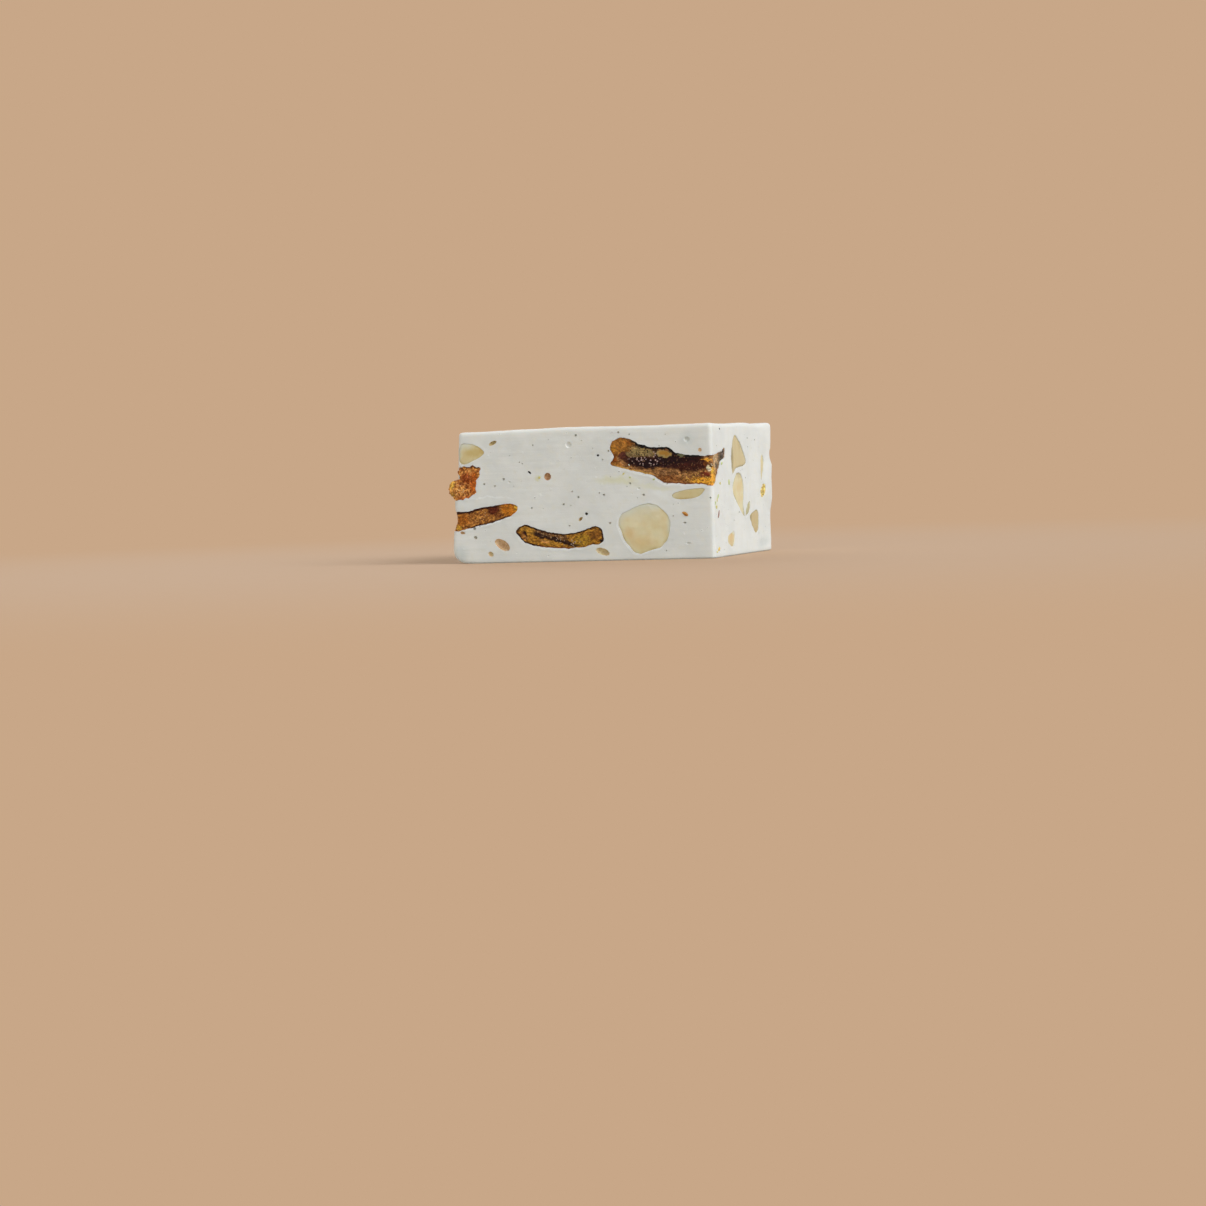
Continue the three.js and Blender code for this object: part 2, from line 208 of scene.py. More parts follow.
class Paint:
    def __init__(self, name, **surface):
        self.material = bpy.data.materials.new(name)
        self.material.use_nodes = True
        self.tree = self.material.node_tree
        self.shader = self.tree.nodes["Principled BSDF"]
        for socket, value in surface.items():
            self.shader.inputs[socket.replace("_", " ")].default_value = value
        self.place = self.scaled(self.node("TexCoord", output="Object"), 1 / mm)

    def node(self, kind, settings=None, values=None, output=0):
        made = self.tree.nodes.new("ShaderNode" + kind)
        for name, value in (settings or {}).items():
            setattr(made, name, value)
        for name, value in (values or {}).items():
            if isinstance(value, Wire):
                self.tree.links.new(value.socket, made.inputs[name])
            else:
                made.inputs[name].default_value = value
        return Wire(self, made.outputs[output])

    def maths(self, operation, *values):
        return self.node("Math", {"operation": operation}, dict(enumerate(values)))

    def mix(self, share, first, second):
        return self.node("Mix", {"data_type": "RGBA"}, {0: share, 6: first, 7: second}, output=2)

    def scaled(self, base, factor):  # a place, or a colour, which it makes lighter or darker
        return self.node("VectorMath", {"operation": "SCALE"}, {0: base, "Scale": factor})

    def noise(self, size, detail=2, roughness=0.5, at=None, distortion=0):
        values = {"Vector": at or self.place, "Scale": 1 / size, "Detail": detail, "Roughness": roughness,
                  "Distortion": distortion}
        return self.node("TexNoise", {}, values, output="Fac")

    def cells(self, size, at=None, output="Distance"):
        return self.node("TexVoronoi", {}, {"Vector": at or self.place, "Scale": 1 / size}, output)

    def ramp(self, value, start, end, low=0.0, high=1.0):  # smooth from start to end
        return self.node("MapRange", {"interpolation_type": "SMOOTHSTEP"},
                         {"Value": value, 1: start, 2: end, 3: low, 4: high})

    def stretched(self, place, scale):
        return self.node("VectorMath", {"operation": "MULTIPLY"}, {0: place, 1: scale})

    def wandering(self, size, reach):  # the place, moved about, for ragged borders
        noise = self.node("TexNoise", {}, {"Vector": self.place, "Scale": 1 / size, "Detail": 3}, output="Color")
        moves = self.node("VectorMath", {"operation": "SUBTRACT"}, {0: noise, 1: (0.5, 0.5, 0.5)})
        return self.node("VectorMath", {"operation": "ADD"}, {0: self.place, 1: self.scaled(moves, reach)})

    def onPiece(self, at, side, middle, half=(1, 1), turn=0):  # along, up and out of a patch, in half sizes
        right, outward = sides[side][:2]
        angle = math.radians(turn)
        lengthwise = right * math.cos(angle) + outward.cross(right) * math.sin(angle)
        axes = Matrix((lengthwise, outward.cross(lengthwise), outward)).transposed()
        values = {"Vector": at, "Location": inMm(side, *middle), "Rotation": axes.to_euler(),
                  "Scale": (*half, patchDepth)}
        return self.node("Mapping", {"vector_type": "TEXTURE"}, values)

    def distance(self, place):
        return self.node("VectorMath", {"operation": "LENGTH"}, {0: place}, output="Value")

    def patch(self, at, side, middle, half, turn=0, soft=0.4):  # 1 within the patch, 0 outside
        return self.ramp(self.distance(self.onPiece(at, side, middle, half, turn)), 1, 1 - soft)

    def lot(self, cells):  # three chance numbers that each cell draws
        drawn = self.node("SeparateColor", {}, {0: cells.other("Color")})
        return [drawn, drawn.other(1), drawn.other(2)]

    def attribute(self, name):
        return self.node("Attribute", {"attribute_name": name}, output="Fac")

    def finish(self, base, roughness, height, strength=1.0, distance=0.1):
        bump = self.node("Bump", {}, {"Height": height, "Strength": strength, "Distance": distance * mm}, "Normal")
        for name, value in (("Base Color", base), ("Roughness", roughness), ("Normal", bump)):
            self.tree.links.new(value.socket, self.shader.inputs[name])
        return self.material


# what a look lays on the sides: first its side, then for stains tone, middle, half size, turn, amount,
# and for the lips of painted highlight on the nougat that stands up round a food, middle, half size, turn
def laid(look, kind):
    return [(side, *one) for side in sides for one in look.get(f"{side} {kind}", [])]


nougatLook = {
    "white": colour(240, 238, 231),
    "grey": colour(230, 229, 223),
    "warm": colour(240, 234, 217),
    # painted shade in a pinhole pore
    "shadedPore": colour(172, 169, 158),
    "paintedHighlight": colour(251, 250, 246),  # painted highlight on the rim of a pore, and on the nougat lip round a food
    "depth": 1.5,          # mm that light goes in
    "cutFrom": (0.3, 1.1),  # mm under the top, over which its smooth skin gives way to the cut
    "clouds": 9,           # sizes, mm
    "mottle": 2.2,
    "knifeMarks": 1.1,
    "grain": 0.28,
    "skin": 3.2,
    "poreGap": 1.5,
    "poreFields": 6,
    "poreShare": 0.45,     # of the cells that have one
    "poreReach": 0.17,     # of the gap, for the largest
    "stainTones": {
        "oily": colour(232, 227, 184), "bright": colour(248, 248, 244), "clear": colour(208, 213, 208),
    },
    "front stains": [
        ("oily", (9.5, 19.9), (8.5, 1.5), -2, 0.6), ("oily", (18.5, 18.0), (8, 1.1), -6, 0.4),
        ("oily", (27, 18.8), (5, 1.2), -4, 0.3), ("oily", (-11.9, 21.3), (1.1, 0.9), 0, 0.8),
        ("oily", (10.5, 21.4), (1.6, 0.7), 30, 0.5), ("bright", (-25, 16.7), (9, 0.32), 1, 0.7),
        ("bright", (20, 16.3), (4, 1.7), -30, 0.5), ("clear", (-33.2, 2.6), (2.6, 3), 0, 0.6),
        ("clear", (27.5, 29.8), (3, 2.6), 20, 0.45),
    ],
    "front lips": [
        ((10.6, 5.4), (2.4, 5.6), 24), ((17.4, 2.0), (6.0, 1.6), 8), ((-6.0, 3.4), (9, 1.6), -6),
        ((-27, 9.4), (7, 1.4), 13), ((20, 20.0), (12, 1.8), -12),
    ],
    "right stains": [("oily", (-25.6, 13.6), (1.6, 3.4), 0, 0.5), ("clear", (20, 2.6), (9, 2.2), 4, 0.55)],
    "back stains": [("clear", (20, 3), (8, 2), 4, 0.4), ("oily", (-14, 17.6), (9, 1.3), 4, 0.5)],
    "left stains": [("oily", (14, 21.5), (6, 1.2), -8, 0.4)],
}


def nougatFinish():
    look = nougatLook
    paint = Paint("nougat", Subsurface_Weight=0.3, Subsurface_Radius=(1.0, 0.88, 0.72),
                  Subsurface_Scale=look["depth"] * mm, Specular_IOR_Level=0.3)
    level = paint.node("SeparateXYZ", {}, {0: paint.place}, output="Z")
    onCut = paint.ramp(level, *[height - under for under in look["cutFrom"]])  # 0 on the smooth top
    small = paint.noise(look["mottle"], 4, 0.6)
    marks = paint.noise(look["knifeMarks"], 3, 0.6, at=paint.stretched(paint.place, (0.1, 0.1, 1.4))) * onCut
    ragged = paint.wandering(2.5, 3.0)

    spot = paint.cells(look["poreGap"])
    chance = paint.lot(spot)[0]
    reach = paint.ramp(chance, 1 - look["poreShare"], 1, 0.01, look["poreReach"])
    where = paint.ramp(paint.noise(look["poreFields"], 2), 0.44, 0.62) * onCut
    # painted shade in the pinhole pores
    shadedPore = paint.ramp(spot / reach, 1.0, 0.55) * where
    # painted highlight in a ring round each pore
    paintedHighlight = paint.ramp(spot / reach, 2.1, 1.3) * where - shadedPore

    cloudy = paint.ramp(paint.noise(look["clouds"], 3, 0.55), 0.38, 0.66) * (onCut * 0.4 + 0.35)
    base = paint.mix(cloudy, look["white"], look["grey"])
    base = paint.mix(paint.ramp(small, 0.48, 0.72) * (onCut * 0.2 + 0.2), base, look["warm"])
    base = paint.mix(paint.ramp(marks, 0.5, 0.72) * 0.22, base, look["grey"])
    for side, tone, middle, half, turn, amount in laid(look, "stains"):
        stain = paint.patch(ragged, side, middle, half, turn, 0.9)
        base = paint.mix(stain * amount, base, look["stainTones"][tone])
    # painted highlight on the nougat beside each food, on its lower left where the lip faces the light, and on the
    # listed lips
    fromFood = paint.attribute("lipAndHighlight")
    highlightBesideFood = paint.ramp(fromFood, 0.55, 0.05) * paint.ramp(paint.noise(look["mottle"], 3), 0.4, 0.62)
    base = paint.mix(highlightBesideFood * 0.6, base, look["paintedHighlight"])
    onHighlightLip = paint.ramp(fromFood, 0.45, 0.1)
    for side, middle, half, turn in laid(look, "lips"):
        base = paint.mix(paint.patch(ragged, side, middle, half, turn, 0.5) * onHighlightLip, base, look["paintedHighlight"])
    base = paint.mix(paintedHighlight * 0.5, base, look["paintedHighlight"])
    base = paint.mix(shadedPore * 0.7, base, look["shadedPore"])

    grain = paint.noise(look["grain"], 3, 0.6)
    skin = paint.noise(look["skin"], 4, 0.5, distortion=1.0) * (1 - onCut)
    relief = grain * 0.34 + marks * 0.45 + small * 0.25 + skin * 0.4 + paintedHighlight * 0.35 - shadedPore * 0.9
    return paint.finish(base, paint.ramp(small, 0.3, 0.7, 0.42, 0.58), relief, 0.6, 0.16)


hollowShades = {  # painted shade inside the bubbles, grey in the deep and dark ones and warm in the others: two tones of the wall, roughness
    "deep": (colour(214, 210, 196), colour(172, 168, 154), 0.5),
    "tan": (colour(232, 198, 154), colour(206, 166, 120), 0.5),
    "olive": (colour(230, 212, 168), colour(212, 186, 138), 0.5),
    "brown": (colour(202, 158, 114), colour(174, 128, 88), 0.5),
    "dark": (colour(96, 88, 72), colour(60, 54, 44), 0.5),
    "amber": (colour(206, 182, 128), colour(148, 108, 54), 0.4),
}


# the bubbles' walls get painted shade
def hollowShadeFinish(kind):
    light, dark, roughness = hollowShades[kind]
    paint = Paint(f"bubble {kind}", Subsurface_Weight=0.15, Subsurface_Scale=0.8 * mm)
    mottle = paint.noise(0.7, 3)
    base = paint.mix(paint.ramp(mottle, 0.4, 0.65), light, dark)
    return paint.finish(base, paint.ramp(mottle, 0.3, 0.7, roughness - 0.08, roughness + 0.12), mottle, 0.3, 0.08)


nougatFinishes = [nougatFinish(), *[hollowShadeFinish(kind) for kind in hollowShades]]
hollowIndex = {"shallow": 0, **{kind: i + 1 for i, kind in enumerate(hollowShades)}}

# tints have tone, middle, half size, turn, softness, amount, rims have mm deep in place of softness, and
# veils of nougat over the rim have middle, half size, turn
macadamiaLook = {
    "pale": colour(238, 224, 184),
    "cream": colour(232, 213, 164),
    "edge": colour(214, 186, 118),
    "blush": colour(228, 192, 134),
    "gilt": colour(204, 166, 88),
    "toast": colour(202, 176, 126),
    "olive": colour(182, 176, 128),
    # shade is painted shade, laid on the left edges and round the rims of the nuts on the right side
    "shade": colour(170, 150, 104),
    "veil": colour(230, 226, 204),  # of nougat, thin over the kernel
    "front tints": [
        ("blush", (11.8, 6.6), (2.4, 2.8), 20, 0.9, 0.7), ("blush", (15.4, 4.4), (5, 2.6), 0, 0.9, 0.4),
        ("veil", (16.0, 12.6), (7.5, 4.0), 0, 0.9, 0.4), ("edge", (16.5, 3.0), (4.6, 1.8), 4, 0.8, 0.12),
        ("edge", (22.4, 8.5), (1.1, 3.4), -10, 0.8, 0.3), ("edge", (28.2, 16.2), (5.5, 1.6), 8, 0.5, 0.5),
        ("edge", (-28.6, 28.2), (3.6, 2.4), 0, 0.8, 0.85), ("edge", (-31.0, 27.4), (3.4, 2.4), 40, 0.8, 0.6),
        ("gilt", (-26.0, 28.6), (2.0, 1.6), 0, 0.8, 0.9),
    ],
    "front rims": [
        ("edge", (-29.0, 28.6), (4.4, 1.6), -8, 0.5, 0.5), ("edge", (28.0, 15.4), (5.5, 1.0), 8, 0.35, 0.5),
    ],
    "front veils": [
        ((10.6, 12.6), (7.6, 5.6), 48), ((17.5, 13.8), (6.0, 2.6), 0), ((22.8, 8.4), (1.8, 4.6), 0),
        ((-31.6, 30.2), (3.6, 2.2), -14), ((-33.2, 28.6), (1.5, 3.6), 0),
    ],
    "right tints": [
        ("toast", (-3.6, 25.6), (8.6, 6.6), 0, 0.2, 0.55), ("shade", (-10.0, 25.0), (2.4, 5.6), 0, 0.7, 0.95),
        ("toast", (-3.0, 28.6), (4.0, 1.4), -58, 0.8, 0.6), ("toast", (10.8, 8.4), (5.6, 4.6), 0, 0.2, 0.75),
        ("shade", (6.4, 9.4), (2.4, 3.2), 0, 0.7, 1.0), ("olive", (4.0, 11.8), (3.8, 2.2), 48, 0.6, 0.8),
        ("olive", (1.2, 11.0), (2.4, 2.0), 0, 0.7, 0.5), ("blush", (-12.4, 4.4), (3, 2.4), 0, 0.7, 0.7),
        ("olive", (-11.0, 7.0), (2.0, 0.8), 0, 0.7, 0.6),
    ],
    "right rims": [
        ("shade", (-3.6, 25.6), (9.5, 6.5), 0, 0.55, 0.75), ("shade", (10.2, 9.0), (6.4, 4.4), 0, 0.5, 0.6),
        ("shade", (3.6, 11.4), (4.4, 3.0), 48, 0.5, 0.5), ("olive", (-7.0, 17.0), (3.4, 5.0), 0, 0.6, 0.6),
        ("edge", (19.0, 21.0), (2.4, 5.0), 0, 0.4, 0.6),
    ],
    "right veils": [((-4.4, 21.6), (3, 1.0), 0), ((3.4, 12.6), (2, 1.2), 40), ((-10.2, 6.0), (2, 0.8), 0)],
    "back rims": [("edge", (10, 22), (20, 12), 0, 0.5, 0.35)],
    "back veils": [((10.5, 27.4), (4, 1.5), -20)],
    "left rims": [("edge", (0, 14), (26, 14), 0, 0.5, 0.35)],
    "left veils": [((-6.4, 25.8), (3.6, 1.4), -20)],
}


def macadamiaFinish():
    look = macadamiaLook
    paint = Paint("macadamia", Subsurface_Weight=0.4, Subsurface_Radius=(1.0, 0.76, 0.42),
                  Subsurface_Scale=1.8 * mm, Specular_IOR_Level=0.38, Coat_Weight=0.03)
    fine = paint.noise(0.8, 4, 0.6)
    strokes = paint.noise(0.5, 3, 0.55, at=paint.stretched(paint.place, (0.25, 0.25, 1.8)))
    ragged = paint.wandering(1.4, 1.2)
    fromRim = paint.attribute("rim") + (fine - 0.5) * 0.2
    base = paint.mix(paint.ramp(paint.noise(3.4, 2), 0.35, 0.68), look["pale"], look["cream"])
    base = paint.mix(paint.ramp(paint.noise(5.2, 1), 0.52, 0.75) * 0.4, base, look["blush"])
    for side, tone, middle, half, turn, soft, amount in laid(look, "tints"):
        base = paint.mix(paint.patch(ragged, side, middle, half, turn, soft) * amount, base, look[tone])
    darker = paint.ramp(fromRim, 0.3, 0.0) * paint.ramp(paint.noise(2.6, 1), 0.42, 0.62)
    base = paint.mix(darker * 0.5, base, look["edge"])
    for side, tone, middle, half, turn, deep, amount in laid(look, "rims"):
        edge = paint.ramp(fromRim * (cutting["rimReach"] / deep), 1, 0.3)
        edge = edge * paint.patch(ragged, side, middle, half, turn, 0.3)
        base = paint.mix(edge * amount, base, look[tone])
    nearRim = paint.ramp(fromRim, 0.95, 0.1)
    for side, middle, half, turn in laid(look, "veils"):
        base = paint.mix(paint.patch(ragged, side, middle, half, turn, 0.8) * nearRim * 0.85, base, look["veil"])
    base = paint.mix(paint.ramp(fine, 0.55, 0.75) * 0.2, base, look["pale"])
    return paint.finish(base, paint.ramp(fine, 0.3, 0.7, 0.36, 0.52), fine * 0.5 + strokes * 0.4, 0.35, 0.08)


# in the order that they are laid on, each with its tone, middle, half size and turn: patches (then softness,
# amount), grains (then the share of the grains, and which of three chance numbers picks them), rims (then
# mm deep, amount), and what is laid over them all, which is given as patches are
driedLooks = {
    "fruit_corner_slice": {
        "side": "front", "middle": (20.6, 24.3), "turn": -11,
        "tones": {
            "flesh": (142, 86, 38), "gold": (184, 132, 78), "deep": (66, 26, 16), "skin": (22, 14, 13),
            "bulb": (178, 116, 44), "dust": (166, 140, 88), "island": (180, 130, 56), "islandRim": (196, 166, 104),
            # orange is the fruit's own colour with a painted highlight in it, at the slice's right end and round the
            # corner
            "orange": (255, 178, 54), "cream": (252, 232, 190), "blackish": (34, 10, 14), "russet": (134, 70, 18),
            "ash": (118, 98, 68), "soot": (52, 48, 42), "straw": (206, 172, 128), "crystal": (226, 190, 180),
            # spark is painted glints on the bright end of the slice
            "spark": (250, 196, 96), "fringe": (226, 172, 84), "granule": (126, 86, 56), "honey": (208, 142, 44),
            # moss is a painted greenish-grey sheen on the slice's dark top edge
            "plum": (92, 44, 32), "ruby": (112, 16, 12), "moss": (126, 122, 88), "lemon": (226, 184, 66),
            "white": (255, 250, 240),
        },
        "front patches": [
            ("gold", (23.0, 21.8), (4.6, 1.3), -12, 0.8, 0.32), ("gold", (16.4, 22.2), (4.4, 0.8), -14, 0.8, 0.85),
            ("russet", (24.0, 19.9), (7.6, 1.1), -5, 0.7, 0.6), ("granule", (21.3, 21.6), (2.6, 1.0), -10, 0.8, 0.6),
            ("bulb", (9.9, 28.6), (4.2, 3.0), -24, 0.3, 0.95), ("russet", (12.5, 29.1), (1.7, 0.8), -34, 0.8, 0.7),
            ("honey", (7.9, 27.8), (1.5, 1.4), 0, 0.8, 0.8), ("russet", (8.3, 25.4), (1.3, 1.7), 0, 0.6, 1.0),
            ("bulb", (9.0, 24.0), (2.0, 0.8), -8, 0.6, 0.8), ("deep", (15.6, 25.0), (6.6, 2.6), -11, 0.3, 0.95),
            ("deep", (21.6, 24.9), (4.8, 2.8), -10, 0.3, 1.0), ("deep", (27.0, 24.3), (6.0, 3.2), -8, 0.3, 1.0),
            ("deep", (30.4, 23.4), (2.4, 1.6), -8, 0.4, 0.95), ("blackish", (16.2, 24.2), (5.4, 1.5), -9, 0.4, 1.0),
            ("blackish", (22.2, 24.9), (4.6, 2.2), -8, 0.5, 0.9),
            ("blackish", (27.0, 25.0), (4.8, 1.9), -6, 0.6, 0.75), ("dust", (13.2, 26.4), (2.4, 1.0), -8, 0.5, 0.7),
            ("dust", (15.8, 27.0), (4.2, 1.5), -12, 0.5, 0.95), ("plum", (10.6, 26.2), (1.3, 0.95), 24, 0.4, 0.95),
            ("blackish", (19.4, 26.9), (1.6, 0.7), -16, 0.6, 0.7), ("orange", (31.2, 19.1), (4.6, 1.5), -4, 0.7, 1.0),
            ("orange", (34.0, 21.0), (1.0, 3.2), 0, 0.7, 0.95), ("orange", (32.3, 24.4), (1.9, 0.4), -4, 0.6, 0.9),
            ("russet", (32.2, 23.6), (1.0, 0.6), 0, 0.6, 0.8), ("lemon", (33.8, 21.3), (0.5, 1.1), 14, 0.6, 0.9),
            ("ruby", (31.9, 20.9), (1.7, 0.8), -6, 0.5, 0.85), ("cream", (32.8, 22.3), (0.65, 0.85), 34, 0.35, 1.0),
            ("cream", (33.4, 23.2), (0.4, 0.22), -30, 0.4, 0.9), ("skin", (33.2, 22.8), (0.3, 0.22), -30, 0.4, 0.9),
            ("white", (12.1, 24.0), (0.26, 0.24), 0, 0.4, 1.0),
        ],
        "front grains": [
            ("skin", (15.0, 27.1), (5.2, 1.9), -12, 0.42, 0), ("granule", (17.0, 24.6), (7.4, 2.2), -11, 0.14, 1),
            ("granule", (27.4, 23.8), (6.4, 2.8), -8, 0.18, 2), ("crystal", (17.0, 24.5), (6.0, 1.5), -9, 0.3, 0),
            ("blackish", (23.5, 21.2), (9.0, 2.0), -13, 0.2, 1), ("spark", (30.0, 19.8), (5.4, 1.8), -6, 0.3, 2),
            ("deep", (30.4, 19.6), (4.6, 2.2), 0, 0.18, 0), ("crystal", (18.6, 26.2), (1.6, 0.8), -10, 0.4, 0),
        ],
        "front rims": [
            ("fringe", (13.5, 22.9), (6.0, 1.8), -15, 0.5, 0.8), ("russet", (26.0, 18.6), (8.0, 1.2), -3, 0.4, 0.8),
            ("skin", (21.5, 27.2), (11.6, 3.0), -11, 0.75, 1.0), ("russet", (9.2, 31.0), (3.0, 1.2), -10, 0.3, 0.8),
            ("russet", (7.2, 25.0), (1.0, 1.8), 0, 0.35, 0.9),
        ],
        "front laidOver": [
            ("islandRim", (21.3, 26.3), (2.35, 1.1), -10, 0.3, 0.85),
            ("island", (21.5, 26.4), (1.95, 0.85), -10, 0.4, 1.0), ("moss", (25.9, 25.7), (1.2, 0.45), -4, 0.6, 0.8),
        ],
        "right patches": [
            ("orange", (-26.8, 19.4), (2.2, 2.2), 0, 0.6, 1.0), ("straw", (-25.2, 24.1), (3.0, 2.6), 30, 0.5, 0.85),
            ("ash", (-21.0, 24.0), (2.7, 3.0), -25, 0.4, 0.9), ("soot", (-19.1, 25.2), (2.8, 1.9), 40, 0.4, 0.95),
            ("soot", (-24.4, 22.9), (1.8, 1.2), -30, 0.6, 0.8), ("soot", (-21.2, 21.6), (0.8, 2.6), -24, 0.7, 0.6),
        ],
        "right grains": [
            ("crystal", (-19.1, 25.2), (2.6, 1.8), 40, 0.26, 1), ("straw", (-22.0, 23.0), (2.4, 2.8), -25, 0.16, 2),
        ],
    },
    "fruit_curved_slice": {
        "side": "front", "middle": (-6.5, 6.3), "turn": 1,
        "tones": {
            "flesh": (148, 92, 26), "gold": (196, 138, 46), "deep": (88, 48, 18), "skin": (54, 25, 12),
            "core": (44, 20, 17), "brown": (130, 80, 26), "amber": (196, 140, 48), "pit": (22, 12, 9),
            "crystal": (228, 200, 176), "granule": (188, 148, 104), "yellow": (184, 142, 42), "umber": (108, 70, 44),
            "blush": (226, 158, 100), "russet": (128, 64, 22),
        },
        "front patches": [
            ("amber", (-14.8, 8.2), (2.2, 1.4), -20, 0.6, 0.85), ("blush", (-16.0, 6.2), (1.4, 1.0), -30, 0.7, 0.3),
            ("umber", (-10.6, 7.4), (3.4, 1.2), -16, 0.5, 0.9), ("umber", (-6.4, 6.3), (2.8, 0.9), -12, 0.6, 0.8),
            ("core", (-11.8, 6.7), (3.0, 0.8), -20, 0.5, 0.95), ("core", (-8.0, 5.7), (3.2, 0.85), -14, 0.5, 0.95),
            ("core", (-4.9, 4.8), (2.4, 0.7), -16, 0.5, 0.95), ("core", (-2.9, 4.2), (1.6, 0.6), 0, 0.6, 0.85),
            ("yellow", (-0.6, 5.4), (3.2, 1.9), 8, 0.6, 0.6), ("brown", (3.0, 6.6), (2.2, 1.8), 14, 0.6, 0.9),
            ("core", (-15.9, 7.3), (1.3, 0.5), -48, 0.5, 1.0), ("russet", (-16.6, 6.8), (1.0, 1.8), 30, 0.8, 0.5),
            ("gold", (-9.4, 4.7), (5.5, 0.7), -8, 0.7, 0.7), ("blush", (-10.6, 5.2), (2.0, 0.5), -10, 0.7, 0.5),
        ],
        "front grains": [
            ("granule", (-9.0, 7.1), (6.0, 1.3), -14, 0.45, 0), ("crystal", (-4.4, 5.2), (4.4, 1.3), -12, 0.2, 1),
            ("core", (-1.6, 4.6), (2.4, 1.2), 8, 0.3, 2), ("yellow", (-0.4, 5.4), (3.6, 1.8), 8, 0.3, 0),
            ("gold", (-4.6, 6.2), (3.4, 0.9), -9, 0.3, 1), ("brown", (0.6, 6.2), (5.4, 2.2), 12, 0.2, 2),
        ],
        "front rims": [
            ("skin", (-6.0, 9.2), (14, 3.2), 0, 0.5, 0.95), ("skin", (-14.8, 6.4), (4.4, 3.2), -20, 0.5, 0.95),
            ("russet", (-7.6, 3.7), (5.4, 1.3), -4, 0.4, 0.85), ("skin", (4.4, 6.4), (1.6, 2.4), 0, 0.5, 0.9),
        ],
        "front laidOver": [("pit", (4.4, 5.1), (0.55, 0.5), 0, 0.5, 1.0)],
    },
    "fruit_left_slice": {
        "side": "front", "middle": (-25.9, 11.8), "turn": 13,
        "tones": {
            "flesh": (158, 92, 34), "gold": (200, 136, 62), "deep": (92, 32, 10), "skin": (56, 18, 8),
            "dark": (92, 28, 8), "tip": (194, 116, 26), "amber": (180, 102, 24), "rimGold": (232, 176, 60),
            "crystal": (224, 172, 118), "curl": (120, 52, 18),
        },
        "front patches": [
            ("dark", (-24.2, 13.4), (2.3, 1.4), 12, 0.5, 0.95), ("dark", (-22.8, 12.0), (1.5, 0.9), 12, 0.5, 0.7),
            ("tip", (-19.6, 13.9), (3.0, 2.6), 10, 0.35, 0.95), ("rimGold", (-17.7, 14.1), (1.2, 1.8), 0, 0.7, 0.9),
            ("amber", (-32.3, 11.2), (2.2, 2.3), 0, 0.7, 0.8), ("rimGold", (-33.6, 9.2), (1.4, 0.9), 0, 0.7, 0.7),
        ],
        "front grains": [
            ("crystal", (-28.0, 11.9), (3.8, 1.6), 13, 0.18, 0), ("curl", (-27.0, 12.0), (8.0, 2.4), 13, 0.26, 1),
        ],
        "front rims": [
            ("skin", (-28.5, 14.2), (8.5, 1.9), 13, 0.7, 0.95), ("skin", (-25.5, 10.4), (6.5, 1.4), 13, 0.5, 0.85),
        ],
        "left patches": [("amber", (27.0, 10.8), (2.4, 2.6), 0, 0.7, 0.6)],
    },
    "fruit_left_lump": {
        "side": "front", "middle": (-31.7, 20.5), "turn": 70,
        "tones": {
            "flesh": (188, 98, 28), "gold": (232, 162, 84), "deep": (122, 46, 12), "skin": (84, 32, 12),
            "smooth": (196, 98, 24), "fringe": (228, 176, 74), "ruby": (166, 66, 16), "crystal": (250, 206, 142),
        },
        "front patches": [
            ("gold", (-33.6, 18.4), (2.6, 2.2), 0, 0.8, 0.4), ("ruby", (-31.3, 21.8), (2.0, 1.9), 20, 0.7, 0.75),
            ("smooth", (-29.4, 20.6), (1.2, 3.8), -6, 0.6, 0.9), ("ruby", (-31.6, 16.9), (2.8, 0.5), 8, 0.6, 0.6),
            ("fringe", (-35.4, 20.4), (1.2, 2.6), 10, 0.7, 0.9), ("fringe", (-34.4, 24.0), (1.0, 1.2), 0, 0.7, 0.8),
            ("fringe", (-35.2, 17.2), (0.9, 1.2), 0, 0.7, 0.7),
        ],
        "front grains": [
            ("crystal", (-33.2, 18.8), (2.6, 2.4), 0, 0.36, 0), ("deep", (-32.4, 20.2), (3.4, 4.0), 0, 0.16, 1),
        ],
        "front rims": [("skin", (-29.6, 24.4), (2.4, 1.2), -6, 0.4, 0.9)],
    },
    "fruit_amber_bit": {
        "side": "right", "middle": (20.1, 16.4), "turn": 0,
        "tones": {"flesh": (232, 194, 104), "gold": (240, 212, 130), "deep": (222, 172, 84)},
    },
    "fruit_back_long": {
        "side": "back", "middle": (-13.5, 22.5), "turn": 6,
        "tones": {
            "flesh": (156, 100, 44), "gold": (202, 150, 84), "deep": (74, 34, 20), "skin": (34, 20, 16),
            "amber": (216, 148, 58), "dust": (148, 124, 84), "blackish": (44, 16, 14), "crystal": (230, 200, 188),
            "granule": (126, 86, 56),
        },
        "back patches": [
            ("deep", (-17.5, 22.4), (6.5, 2.0), 4, 0.4, 0.9), ("deep", (-9.0, 23.0), (5.0, 1.7), 8, 0.4, 0.8),
            ("blackish", (-15.5, 22.2), (6.5, 1.1), 5, 0.6, 0.9), ("dust", (-14.0, 24.0), (4.6, 0.9), 6, 0.7, 0.8),
            ("amber", (-2.6, 23.6), (2.6, 2.4), 0, 0.6, 0.9), ("amber", (-25.8, 21.0), (2.0, 2.0), 0, 0.6, 0.6),
        ],
        "back grains": [
            ("granule", (-14, 22.4), (9, 2.4), 6, 0.16, 0), ("crystal", (-15.5, 21.8), (6, 1.5), 6, 0.1, 1),
            ("blackish", (-14, 24), (5, 1.4), 6, 0.25, 2),
        ],
        "back rims": [("skin", (-13.5, 25.4), (13, 2.0), 6, 0.55, 1.0)],
    },
    "fruit_back_bent": {
        "side": "back", "middle": (15.5, 8), "turn": -8,
        "tones": {
